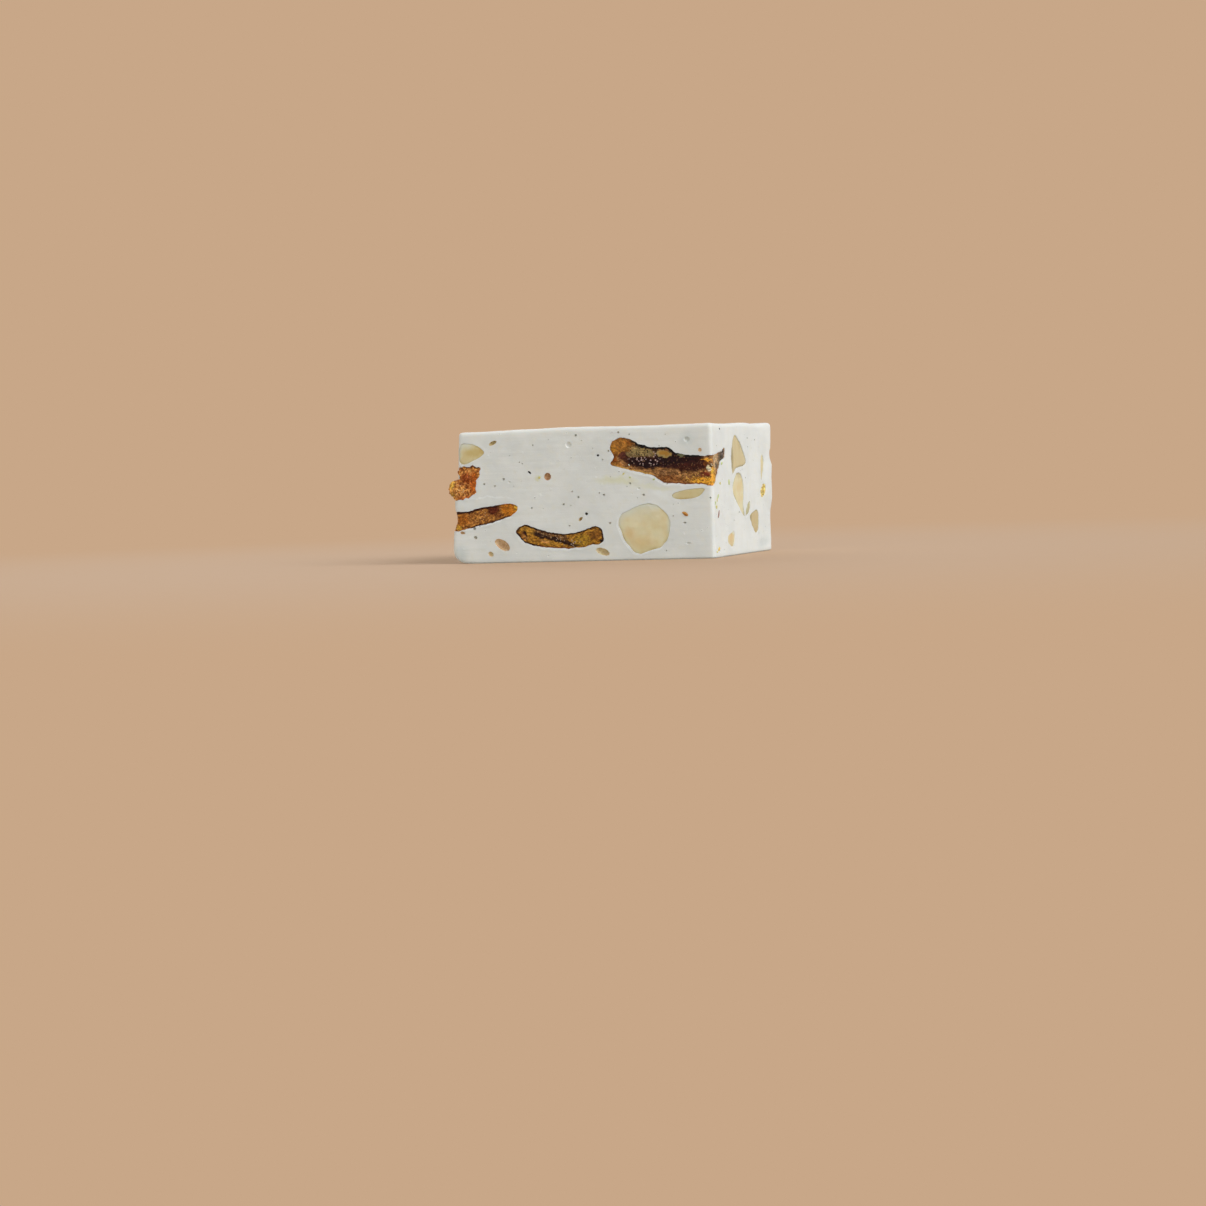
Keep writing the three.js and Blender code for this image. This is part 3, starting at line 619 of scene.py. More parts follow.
            "flesh": (164, 108, 46), "gold": (204, 150, 78), "deep": (96, 54, 28), "skin": (50, 28, 16),
            "core": (76, 42, 28), "amber": (196, 138, 62), "crystal": (222, 194, 170), "granule": (134, 92, 54),
        },
        "back patches": [
            ("core", (13.5, 8.4), (5.0, 1.3), -4, 0.5, 0.9), ("amber", (22.5, 7.6), (2.4, 1.9), 0, 0.6, 0.7),
        ],
        "back grains": [("granule", (14, 8), (9, 2), -6, 0.22, 0), ("crystal", (13, 8), (5, 1.2), -4, 0.1, 1)],
        "back rims": [("skin", (15.5, 8), (13, 6), -8, 0.42, 0.95)],
    },
    "fruit_back_end": {
        "side": "back", "middle": (25, 24.8), "turn": 14,
        "tones": {
            "flesh": (172, 104, 40), "gold": (212, 152, 76), "deep": (110, 46, 18), "skin": (66, 30, 14),
            "amber": (206, 134, 48),
        },
        "back patches": [
            ("amber", (20.5, 24.4), (2.4, 2.0), 0, 0.6, 0.9), ("deep", (26, 25.2), (2.2, 1.2), 14, 0.6, 0.8),
        ],
        "back grains": [("deep", (25, 24.8), (6, 2.4), 14, 0.18, 0)],
        "back rims": [("skin", (25, 26.6), (6, 1.6), 14, 0.5, 1.0)],
    },
    "fruit_left_strip": {
        "side": "left", "middle": (-15.8, 24), "turn": -10,
        "tones": {
            "flesh": (158, 96, 40), "gold": (202, 140, 70), "deep": (88, 38, 20), "skin": (48, 26, 14),
            "amber": (202, 132, 50), "crystal": (228, 196, 166),
        },
        "left patches": [
            ("deep", (-17.5, 24.4), (3.2, 1.4), -10, 0.5, 0.9), ("amber", (-11.2, 23.2), (1.8, 1.8), 0, 0.6, 0.8),
        ],
        "left grains": [
            ("crystal", (-17.5, 24), (3, 1.2), -10, 0.12, 0), ("deep", (-14, 24), (5, 2.4), -10, 0.16, 1),
        ],
        "left rims": [
            ("skin", (-15.8, 26), (6, 1.5), -10, 0.5, 1.0), ("skin", (-15.8, 21.8), (6, 1.0), -10, 0.4, 0.7),
        ],
    },
}
driedGrain = {
    "curls": 0.5,     # sizes, mm
    "curlStretch": (0.42, 1.0, 1.3),
    "clumps": 1.1,
    "grains": 0.4,
    "shades": (0.44, 1.52),       # brightness as painted shade between the fibres and painted highlight on them
    "unevenGrains": (0.8, 1.18),  # and of one grain and another
}


def driedFinish(node):
    look = driedLooks[node]
    tones = {name: colour(*tone) for name, tone in look["tones"].items()}
    paint = Paint(node.replace("_", " "), Subsurface_Weight=0.2, Subsurface_Radius=(1.0, 0.42, 0.14),
                  Subsurface_Scale=1.1 * mm, Specular_IOR_Level=0.15, Coat_Weight=0.04, Coat_Roughness=0.25)
    ragged = paint.wandering(0.9, 1.3)
    curly = paint.onPiece(paint.wandering(1.4, 1.6), look["side"], look["middle"], turn=look["turn"])
    curly = paint.stretched(curly, driedGrain["curlStretch"])
    fibres = paint.noise(driedGrain["curls"], 4, 0.68, at=curly, distortion=0.5)
    clumps = paint.noise(driedGrain["clumps"], 3, 0.6, distortion=0.4)
    cells = paint.cells(driedGrain["grains"], at=paint.wandering(0.35, 0.5))
    lots = paint.lot(cells)
    speck = paint.ramp(cells, 0.58, 0.34)
    fromRim = paint.attribute("rim") * cutting["rimReach"]
    uneven = (clumps - 0.5) * 1.6 + (fibres - 0.5) * 0.8

    base = paint.mix(paint.ramp(fibres, 0.36, 0.62), tones["flesh"], tones["gold"])
    base = paint.mix(paint.ramp(clumps, 0.5, 0.66) * 0.6, base, tones["deep"])
    for side, tone, middle, half, turn, soft, amount in laid(look, "patches"):
        base = paint.mix(paint.patch(ragged, side, middle, half, turn, soft) * amount, base, tones[tone])
    # painted shade between the fibres and painted highlight on them, over every tone
    shading = paint.ramp(fibres, 0.3, 0.7, *driedGrain["shades"])
    base = paint.scaled(base, shading * paint.ramp(lots[0], 0.1, 0.9, *driedGrain["unevenGrains"]))
    raised = 0.0
    for side, tone, middle, half, turn, share, lot in laid(look, "grains"):
        some = paint.ramp(lots[lot], 0.98 - share, 1.02 - share) * speck
        some = paint.patch(ragged, side, middle, half, turn, 0.5) * some
        base = paint.mix(some * 0.85, base, tones[tone])
        raised = some + raised
    for side, tone, middle, half, turn, deep, amount in laid(look, "rims"):
        edge = paint.ramp(fromRim / deep + uneven, 1, 0.55)
        edge = edge * paint.patch(ragged, side, middle, half, turn, 0.3)
        base = paint.mix(edge * amount, base, tones[tone])
    for side, tone, middle, half, turn, soft, amount in laid(look, "laidOver"):
        base = paint.mix(paint.patch(ragged, side, middle, half, turn, soft) * amount, base, tones[tone])
    relief = fibres * 0.7 + lots[0] * 0.25 + clumps * 0.4 + raised * 0.4
    return paint.finish(base, paint.ramp(clumps, 0.35, 0.65, 0.32, 0.58), relief, 0.8, 0.22)


bar = {  # lengths in mm
    "edgeRadius": 0.8,
    "baseRadius": 0.45,
    "edgeSegments": 3,
    "leftLean": (0.7, 0.9),  # how far the left side's head is in, and its foot out
    "softRadius": 3.4,       # of the lower left edge
    "softSegments": 7,
    "sharpFrom": 50,         # degrees between the faces at an edge that gets rounded
    "grid": 0.4,             # size of the faces on the cut sides
    "flat": (0.3, 3),        # level up to which the base stays flat, and over which the unevenness sets in
    "presses": [             # side, across, up, how near, move, over how much
        ("left", 28.5, 16.0, 1.5, (-0.8, 0, 0), 3.6), ("left", 28.5, 4.6, 2.6, (-1.0, 0, 0), 5.5),
        ("left", 0, 5.5, 2.0, (-0.4, 0, 0), 14), ("right", 28.5, 33.4, 1.5, (0.65, 0, 0.55), 14),
        ("right", 28.5, 18.5, 4.0, (0.6, 0.1, 0), 5), ("right", 28.5, 25.0, 0.8, (-0.4, 0, 0), 1.8),
        ("right", 4, 33.4, 1.5, (0, 0, 0.4), 15), ("front", -4, 33.4, 1.5, (0, 0, 0.28), 22),
        ("back", 12, 33.4, 1.5, (0, -0.35, -0.2), 14),
    ],
    "waves": (11, 0.26),     # size and height, mm
    "ripples": (3.2, 0.13),
    "knifeMarks": (1.2, 0.08),
    "markStretch": (7, 7, 1),
    "topRatio": 0.2,         # share of the faces that the smooth top and base keep
    "baseRatio": 0.03,
}


def makeBar():
    leaveEditing()
    bpy.ops.object.select_all(action="DESELECT")
    bpy.ops.mesh.primitive_cube_add(size=1, location=barMiddle + Vector((0, 0, height / 2 * mm)))
    piece = bpy.context.object
    piece.name = "nougat_block"
    piece.scale = (width * mm, depth * mm, height * mm)
    bpy.ops.object.transform_apply(location=True, rotation=True, scale=True)

    headIn, footOut = bar["leftLean"]
    for level, shift in ((height, headIn), (0, -footOut)):
        mesh = edit(piece, "VERT")
        selectWhere(piece, mesh.verts, lambda v: v.co.x < 0 and abs(v.co.z - level * mm) < mm)
        bpy.ops.transform.translate(value=(shift * mm, 0, 0))
    mesh = edit(piece, "EDGE")
    selectWhere(piece, mesh.edges, lambda e: all(v.co.x < 0 and v.co.z < mm for v in e.verts))
    bpy.ops.mesh.bevel(offset=bar["softRadius"] * mm, segments=bar["softSegments"], profile=0.5)
    for radius, atBase in ((bar["edgeRadius"], False), (bar["baseRadius"], True)):
        mesh = edit(piece, "EDGE")
        selectWhere(piece, mesh.edges, lambda e: e.calc_face_angle(0) > math.radians(bar["sharpFrom"])
                    and all(v.co.z < 0.01 * mm for v in e.verts) == atBase)
        bpy.ops.mesh.bevel(offset=radius * mm, segments=bar["edgeSegments"], profile=0.5)
    leaveEditing()
    apply(piece, "REMESH", mode="VOXEL", voxel_size=bar["grid"] * mm)
    return piece


def press(piece, place, near, move, reach):  # moves what is near the place, and less what is further off
    mesh = edit(piece, "VERT")
    if selectWhere(piece, mesh.verts, lambda v: (v.co - place).length < near * mm):
        bpy.ops.transform.translate(
            value=[m * mm for m in move],
            use_proportional_edit=True,
            proportional_edit_falloff="SMOOTH",
            proportional_size=reach * mm,
        )
    leaveEditing()


nougat = makeBar()
for side, across, up, near, move, reach in bar["presses"]:
    press(nougat, onSide(side, across, up), near, move, reach)

# the base stays flat: only what is above it takes part in the unevenness
above = nougat.vertex_groups.new(name="above")
flatTo, fadesOver = bar["flat"]
for vertex in nougat.data.vertices:
    share = min(1, max(0, (vertex.co.z / mm - flatTo) / fadesOver))
    above.add([vertex.index], share * share * (3 - 2 * share), "REPLACE")
roughen(nougat, *bar["waves"], group="above")
roughen(nougat, *bar["ripples"], group="above")
roughen(nougat, *bar["knifeMarks"], group="above", stretch=bar["markStretch"], detail=1)

# the smooth top and base need fewer faces than the cut sides
for facing, steepness, ratio in ((1, 0.95, bar["topRatio"]), (-1, 0.99, bar["baseRatio"])):
    mesh = edit(nougat)
    selectWhere(nougat, mesh.faces, lambda f: f.normal.z * facing > steepness)
    bpy.ops.mesh.select_less()
    bpy.ops.mesh.select_less()
    bpy.ops.mesh.decimate(ratio=ratio)
leaveEditing()
print("bar shaped:", triangleCount(nougat), "triangles")

# each nut and fruit starts as a merged copy of its solid, drawn out of the side that cuts it
foods = {
    "macadamia": {
        "nodes": {
            "nut_round": ["front"], "nut_corner": ["front"], "nut_leaf": ["front"],
            "nut_fin": ["right"], "nut_drop": ["right"], "nut_hook": ["right"], "nut_shield": ["right"],
            "nut_low": ["right"], "nut_thin": ["right"],
            "nut_back_whole": ["back"], "nut_back_left": ["back"], "nut_back_middle": ["back"],
            "nut_back_small": ["back"],
            "nut_left_large": ["left"], "nut_left_low": ["left"], "nut_left_small": ["left"],
        },
        "slot": "nut",
        "sunk": 0.03,    # mm that the cut faces lie under the nougat's
        "growth": 0.3,   # mm by which a piece presses into the nougat round it
        "smooth": 3,
        "outline": [(2.6, 0.4), (0.9, 0.12)],  # size and height of its unevenness, mm
        "face": [(2.4, 0.12), (0.7, 0.035)],
        "fine": 0.24,
    },
    "slices": {
        "nodes": {
            "fruit_corner_slice": ["front", "right"], "fruit_curved_slice": ["front"],
            "fruit_left_slice": ["front", "left"],
            "fruit_amber_bit": ["right"],
            "fruit_back_long": ["back"], "fruit_back_bent": ["back"], "fruit_back_end": ["back"],
            "fruit_left_strip": ["left"],
        },
        "slot": "dried_fruit",
        "sunk": 0.08,
        "growth": 0.1,
        "smooth": 4,
        "outline": [(2.4, 0.5), (0.8, 0.45)],
        "face": [(1.5, 0.3), (0.45, 0.2)],
        "fine": 0.2,
    },
    "torn": {
        "nodes": {"fruit_left_lump": ["front"]},
        "slot": "dried_fruit",
        "sunk": 0.08,
        "growth": 0.1,
        "wider": 1.3,  # of the knife, which leaves what is torn off at the left as it is
        "smooth": 3,
        "outline": [(2.2, 1.1), (0.8, 1.0)],
        "face": [(1.1, 0.7), (0.45, 0.5)],
        "fine": 0.17,
    },
}
cutting = {
    "drawnOut": 2.6,  # mm that a form is drawn out of the side before it is cut
    "coarse": 0.3,    # mm, the grid that the forms are shaped on
    "pocketRatio": 0.16,
    "rimReach": 2.5,  # mm from the nougat over which the finishes see the rim
    "mergeWithin": 0.002,
    "cutFaces": (0.75, 1.2),  # how squarely a face looks out of its side, and mm that it lies within it
    "fray": (0.9, 1.5),       # size and height of the ragged ends
}
# side, across, up, how near, move, over how much
presses = {
    "nut_round": [("front", 9.6, 10.6, 1.4, (-0.9, 0, 0), 3), ("front", 14.6, 3.0, 1.4, (0, 0, -0.6), 3)],
    "nut_thin": [("right", 18.4, 20.0, 0.8, (0, -0.2, -1.8), 2)],
    "fruit_curved_slice": [
        ("front", -17.3, 8.2, 0.8, (-0.9, 0, 0.1), 1.4), ("front", 4.0, 5.1, 0.9, (0.9, 0, -0.5), 1.6),
        ("front", 3.6, 7.8, 0.9, (0.6, 0, 0.5), 1.8),
    ],
    "nut_corner": [
        ("front", -31.6, 28.4, 2.4, (-1.3, 0, 0.1), 3.2), ("front", -32.6, 26.4, 1.2, (-0.3, 0, -0.9), 2.2),
    ],
    "nut_fin": [
        ("right", -6.6, 29.8, 1.0, (0, 0, 0.9), 2.5), ("right", 3.2, 23.4, 1.0, (0, 0.6, -0.1), 2),
        ("right", -9.2, 21.8, 1.1, (0, -0.3, -1.6), 2.6),
    ],
    "nut_drop": [("right", -4.5, 20, 1.6, (0, 0, 1.0), 6)],
    "nut_hook": [
        ("right", 3.8, 11.0, 1.2, (0, -2.4, -0.9), 2.8), ("right", 6.4, 12.4, 1.0, (0, -0.7, 0.1), 2),
    ],
    "fruit_corner_slice": [
        ("front", 12, 23.1, 1.2, (0, 0, -0.6), 3.5), ("front", 16, 22.0, 1.2, (0, 0, -0.4), 3.0),
        ("front", 21.5, 19.8, 1.2, (0, 0, -1.1), 3.5), ("front", 27.5, 19.0, 1.2, (0, 0, -0.7), 3.5),
        ("front", 33, 18.4, 1.2, (0, 0, -0.7), 3), ("front", 8.4, 28.4, 2.2, (-1.0, 0, 0), 2.6),
        ("front", 21.2, 27.6, 1.0, (0, 0, 0.6), 2.2), ("front", 7.8, 24.2, 0.8, (-1.3, 0, -0.6), 1.2),
        ("front", 7.7, 26.0, 0.6, (0.7, 0, 0), 1.2), ("front", 32.5, 25.5, 0.9, (0, 0, -0.8), 2.6),
    ],
    "fruit_left_lump": [
        ("front", -33.4, 20.2, 3, (-0.4, 0, 0), 3), ("front", -34.2, 22.3, 0.8, (1.2, 0, 0), 1.3),
        ("front", -28.8, 24.3, 0.9, (0.4, 0, 0.8), 1.6),
    ],
}
# rounds of smoothing beyond the kind's own, then mm that the outline is drawn out again
rounder = {
    "fruit_curved_slice": (9, 0.16), "fruit_left_slice": (3, 0.05), "fruit_back_long": (6, 0.1),
    "fruit_back_bent": (8, 0.14), "fruit_back_end": (6, 0.1), "fruit_left_strip": (6, 0.1),
    "nut_hook": (0, 0.42), "nut_thin": (0, 0.24),
}
frays = {  # ragged ends: side, across, up, over how much
    "fruit_corner_slice": [("front", 33.5, 21.5, 6), ("right", -20, 25, 5)],
    "fruit_back_long": [("back", -26, 21, 4)],
}


def drawnForm(node, sidesCut, settings):
    piece = duplicate(frame["nodes"][node], node.replace("_", " "))
    piece.parent = None
    for key in list(piece.keys()):
        del piece[key]
    piece.data.materials.clear()
    edit(piece)
    bpy.ops.mesh.select_all(action="SELECT")
    bpy.ops.mesh.remove_doubles(threshold=cutting["mergeWithin"] * mm)
    squarely, within = cutting["cutFaces"]
    for side in sidesCut:
        outward, reach = sides[side][1:]
        mesh = edit(piece)
        selectWhere(piece, mesh.faces, lambda f: f.normal.dot(outward) > squarely
                    and (f.calc_center_median() - barMiddle).dot(outward) > (reach - within) * mm)
        bpy.ops.mesh.extrude_region_move(TRANSFORM_OT_translate={"value": outward * cutting["drawnOut"] * mm})
    leaveEditing()
    apply(piece, "REMESH", mode="VOXEL", voxel_size=cutting["coarse"] * mm)
    rounds, swelling = rounder.get(node, (0, 0))
    apply(piece, "SMOOTH", iterations=settings["smooth"] + rounds, factor=0.5)
    if swelling:
        apply(piece, "DISPLACE", strength=swelling * mm, mid_level=0)
    for side, across, up, near, move, reach in presses.get(node, []):
        for out in (0, cutting["drawnOut"]):
            press(piece, onSide(side, across, up, out), near, [m / 2 for m in move], reach)
    for size, strength in settings["outline"]:
        roughen(piece, size, strength)
    for side, across, up, reach in frays.get(node, []):
        frayed = piece.vertex_groups.new(name="frayed")
        for vertex in piece.data.vertices:
            far = (vertex.co - onSide(side, across, up)).length / mm
            frayed.add([vertex.index], max(0, 1 - far / reach), "REPLACE")
        roughen(piece, *cutting["fray"], group="frayed")
        piece.vertex_groups.clear()
    return piece


def cutFlush(form, settings, name, cutter):
    piece = duplicate(form, name)
    combine(piece, "INTERSECT", cutter)
    apply(piece, "REMESH", mode="VOXEL", voxel_size=settings["fine"] * mm)
    apply(piece, "SMOOTH", iterations=2, factor=0.5)
    apply(piece, "DISPLACE", strength=settings["growth"] * mm, mid_level=0)
    for size, strength in settings["face"]:
        roughen(piece, size, strength)
    return piece


def makeKnife(settings):
    knife = duplicate(nougat, "knife")
    apply(knife, "DISPLACE", strength=-(settings["sunk"] + settings["growth"]) * mm, mid_level=0)
    knife.scale = (settings.get("wider", 1), 1, 1)
    pick(knife)
    bpy.ops.object.transform_apply(location=False, rotation=False, scale=True)
    return knife


forms = {}
pieces = {}
for settings in foods.values():
    knife = makeKnife(settings)
    for node, sidesCut in settings["nodes"].items():
        forms[node] = drawnForm(node, sidesCut, settings)
        name = node.replace("nut_", "macadamia_").replace("fruit_", "dried_")
        pieces[node] = cutFlush(forms[node], settings, name, knife)
    remove(knife)
print("nuts and fruit cut:", sum(triangleCount(piece) for piece in pieces.values()), "triangles")

# the knife pushes up a lip of nougat round each of them, higher on the side that it leaves last
lipAndHighlight = {
    "reach": 0.6,
    "height": 0.3,
    "unevenness": 1.8,
    # lightOver is mm over which the painted highlight beside a food fades out
    "lightOver": 0.8,
    "pushed": Vector((-0.24, 0, -0.28)),
}
for form in forms.values():
    apply(form, "DECIMATE", ratio=cutting["pocketRatio"])
pick(*forms.values())
bpy.ops.object.join()
pockets = bpy.context.object
pockets.name = "pockets"
rim = nougat.vertex_groups.new(name="rim")
rim.add(range(len(nougat.data.vertices)), 1, "REPLACE")
pockets.location += lipAndHighlight["pushed"] * mm
apply(nougat, "VERTEX_WEIGHT_PROXIMITY", vertex_group="rim", target=pockets, proximity_mode="GEOMETRY",
      proximity_geometry={"FACE"}, min_dist=lipAndHighlight["reach"] * mm, max_dist=0)
roughen(nougat, lipAndHighlight["unevenness"], lipAndHighlight["height"], group="rim", middle=0.35)
nougat.vertex_groups.clear()
pockets.location -= lipAndHighlight["pushed"] * mm
combine(nougat, "DIFFERENCE", pockets)
print("pockets cut:", triangleCount(nougat), "triangles")


def markReach(piece, target, name, reach):  # 0 where the piece touches the target, 1 beyond the reach
    group = piece.vertex_groups.new(name="reach")
    group.add(range(len(piece.data.vertices)), 1, "REPLACE")
    apply(piece, "VERTEX_WEIGHT_PROXIMITY", vertex_group="reach", target=target, proximity_mode="GEOMETRY",
          proximity_geometry={"FACE"}, min_dist=0, max_dist=reach * mm)
    values = piece.data.attributes.new(name, "FLOAT", "POINT")
    for vertex in piece.data.vertices:
        values.data[vertex.index].value = vertex.groups[0].weight if vertex.groups else 0
    piece.vertex_groups.clear()


macadamia = macadamiaFinish()
for node, piece in pieces.items():
    markReach(piece, nougat, "rim", cutting["rimReach"])
    piece.data.materials.clear()
    piece.data.materials.append(macadamia if node.startswith("nut_") else driedFinish(node))
print("nuts and fruit finished")

bubbles = {
    "seen": {  # across, up, half sizes, turn, finish
        "front": [
            (-3.5, 29.3, (0.95, 0.95), 0, "shallow"), (-9.3, 21.5, (0.95, 1.0), 0, "brown"),
            (-22.0, 4.6, (2.35, 1.25), -33, "tan"), (4.7, 2.3, (1.95, 0.9), -20, "olive"),
            (-25.2, 2.3, (0.8, 0.62), -35, "olive"), (-32.6, 7.9, (0.75, 0.45), -8, "tan"),
            (30.7, 26.9, (0.5, 0.5), 0, "tan"), (27.4, 29.6, (0.9, 0.8), 0, "shallow"),
            (-23.7, 30.4, (1.15, 0.48), 24, "amber"), (-1.5, 31.6, (0.34, 0.3), 0, "deep"),
            (4.2, 26.4, (0.34, 0.3), 0, "dark"), (5.4, 25.3, (0.24, 0.2), 0, "deep"),
            (7.0, 27.4, (0.3, 0.26), 0, "deep"), (2.9, 28.2, (0.18, 0.16), 0, "deep"),
            (-14.1, 22.7, (0.55, 0.26), -40, "dark"), (-21.1, 21.2, (0.36, 0.32), 0, "deep"),
            (-19.6, 20.4, (0.42, 0.36), 0, "shallow"), (-23.5, 19.5, (0.3, 0.26), 0, "deep"),
            (-26.4, 20.1, (0.32, 0.28), 0, "deep"), (-1.3, 16.1, (0.32, 0.28), 0, "deep"),
            (-2.9, 17.6, (0.26, 0.22), 0, "deep"), (-5.3, 14.4, (0.32, 0.28), 0, "deep"),
            (-13.8, 13.7, (0.3, 0.26), 0, "deep"), (0.7, 11.9, (0.4, 0.38), 0, "dark"),
            (-0.9, 10.6, (0.75, 0.36), 45, "amber"), (5.5, 16.5, (0.32, 0.28), 0, "deep"),
            (4.3, 17.0, (0.22, 0.2), 0, "deep"), (-3.9, 9.0, (0.28, 0.24), 0, "deep"),
            (-29.4, 8.9, (0.45, 0.36), 0, "deep"), (-29.2, 6.6, (0.5, 0.42), 0, "deep"),
            (26.3, 9.0, (0.42, 0.22), 0, "deep"), (27.1, 3.9, (0.75, 0.38), 0, "shallow"),
            (21.9, 18.8, (0.3, 0.26), 0, "deep"), (15.8, 16.2, (0.36, 0.28), 0, "deep"),
            (12.8, 16.6, (0.3, 0.24), 0, "shallow"), (14.6, 17.8, (0.5, 0.4), 0, "shallow"),
            (6.8, 9.4, (0.34, 0.3), 0, "deep"), (33.0, 15.0, (0.3, 0.26), 0, "deep"),
        ],
        "right": [
            (-20.9, 32.0, (0.36, 0.28), 0, "dark"), (-24.0, 27.8, (0.22, 0.2), 0, "deep"),
        ],
    },
    "scattered": {"front": 52, "right": 46, "back": 72, "left": 62, "top": 44},
    "large": {"back": 7, "left": 6, "right": 1, "top": 6},  # among the scattered ones
    "sizes": (0.12, 0.34),
    "largeSizes": (0.45, 1.1),
    "flatness": (0.6, 1),
    "kinds": ["deep", "deep", "deep", "shallow"],
    "largeKinds": ["tan", "deep", "shallow"],
    "depths": {"deep": 1, "dark": 1.2, "tan": 0.45, "olive": 0.5, "brown": 0.6, "amber": 0.5,
               "shallow": 1},  # of the half size
    "sunk": {"deep": 0.1, "dark": 0.2, "tan": 0.05, "olive": 0.05, "brown": 0.1, "amber": 0.05, "shallow": -0.42},
    "turns": 50,
    "apart": 0.25,        # mm at least, from one another and from the edges
    "fromEdge": 1.2,
    "foodShell": (0.2, 0.9),  # mm out of the side at which the drawn-out forms are read
    "foodStep": 0.35,
    "modelRough": (900, 120),  # on a model of 1 m
    "seed": 31,
}


def roundModel(roughness, finishes):  # of 1 m, for setOn to size
    bpy.ops.object.select_all(action="DESELECT")
    bpy.ops.mesh.primitive_ico_sphere_add(subdivisions=2, radius=1)
    model = bpy.context.object
    roughen(model, *roughness)
    for finish in finishes:
        model.data.materials.append(finish)
    return model


def setOn(side, across, up, half, turn, finish, model, sunk=0.0):  # a copy of the model, sized and turned
    right, outward = sides[side][:2]
    headIn, footOut = bar["leftLean"]
    lean = footOut - (headIn + footOut) * up / height if side == "left" else 0
    axes = Matrix((right, outward.cross(right), outward)).transposed().to_4x4()
    turned = Matrix.Rotation(math.radians(turn), 4, "Z")
    piece = duplicate(model, model.name)
    for face in piece.data.polygons:
        face.material_index = finish
    place = Matrix.Translation(onSide(side, across, up, lean - sunk))
    piece.matrix_world = place @ axes @ turned @ Matrix.Diagonal((*[h * mm for h in half], 1))
    return piece


def joined(parts, name):
    pick(*parts)
    bpy.ops.object.join()
    piece = bpy.context.object
    piece.name = name
    bpy.ops.object.transform_apply(location=True, rotation=True, scale=True)
    return piece


def makeBubble(side, across, up, half, turn, kind, model):
    deepness = (half[0] + half[1]) / 2 * bubbles["depths"][kind]
    sunk = bubbles["sunk"][kind] * deepness
    return setOn(side, across, up, (*half, deepness), turn, hollowIndex[kind], model, sunk)


def isClear(side, across, up, size, taken):
    return all(
        other != side or math.hypot(across - x, up - z) > size + far + bubbles["apart"]
        for other, x, z, far in taken
    )


# where the nuts and fruit show, in steps along their outlines, so that bubbles keep clear of them
def takenByFood():
    taken = []
    inner, outer = bubbles["foodShell"]
    for vertex in pockets.data.vertices:
        for side, (right, outward, reach) in sides.items():
            out = (vertex.co - barMiddle).dot(outward) / mm - reach
            if inner < out < outer:
                across = (vertex.co - barMiddle).dot(right) / mm
                taken.append((side, across, vertex.co.z / mm, bubbles["foodStep"]))
    return taken


def scatter(counts, sizes, large, taken, draw):
    found = []
    edge = bubbles["fromEdge"]
    for side, count in counts.items():
        room = (depth if side in ("left", "right") else width) / 2 - edge
        levels = (edge - depth / 2, depth / 2 - edge) if side == "top" else (edge, height - edge)
        placed = 0
        while placed < count:
            low, high = bubbles["largeSizes"] if placed < large.get(side, 0) else sizes
            size = low + (high - low) * draw.random() ** 2
            across, up = draw.uniform(-room, room), draw.uniform(*levels)
            if isClear(side, across, up, size, taken):
                found.append((side, across, up, size, placed < large.get(side, 0)))
                taken.append((side, across, up, size))
                placed += 1
    return found


draw = random.Random(bubbles["seed"])
wanted = [(side, *one) for side, some in bubbles["seen"].items() for one in some]
taken = takenByFood() + [(side, across, up, max(half)) for side, across, up, half, turn, kind in wanted]
found = scatter(bubbles["scattered"], bubbles["sizes"], bubbles["large"], taken, draw)
for side, across, up, size, isLarge in found:
    if side == "top":
        kind = "shallow"
    else:
        kind = draw.choice(bubbles["largeKinds"] if isLarge else bubbles["kinds"])
    turn = draw.uniform(-bubbles["turns"], bubbles["turns"])
    wanted.append((side, across, up, (size, size * draw.uniform(*bubbles["flatness"])), turn, kind))

nougat.data.materials.clear()
for finish in nougatFinishes:
    nougat.data.materials.append(finish)
bubbleModel = roundModel(bubbles["modelRough"], nougatFinishes)
hollow = joined([makeBubble(*one, bubbleModel) for one in wanted], "hollows")
remove(bubbleModel)
combine(nougat, "DIFFERENCE", hollow)
# the pockets, moved down and to the left, mark where the painted highlight beside each food goes
pockets.location += lipAndHighlight["pushed"] * mm
markReach(nougat, pockets, "lipAndHighlight", lipAndHighlight["lightOver"])
remove(hollow, pockets)
print("bubbles cut:", len(wanted), "and the bar has", triangleCount(nougat), "triangles")

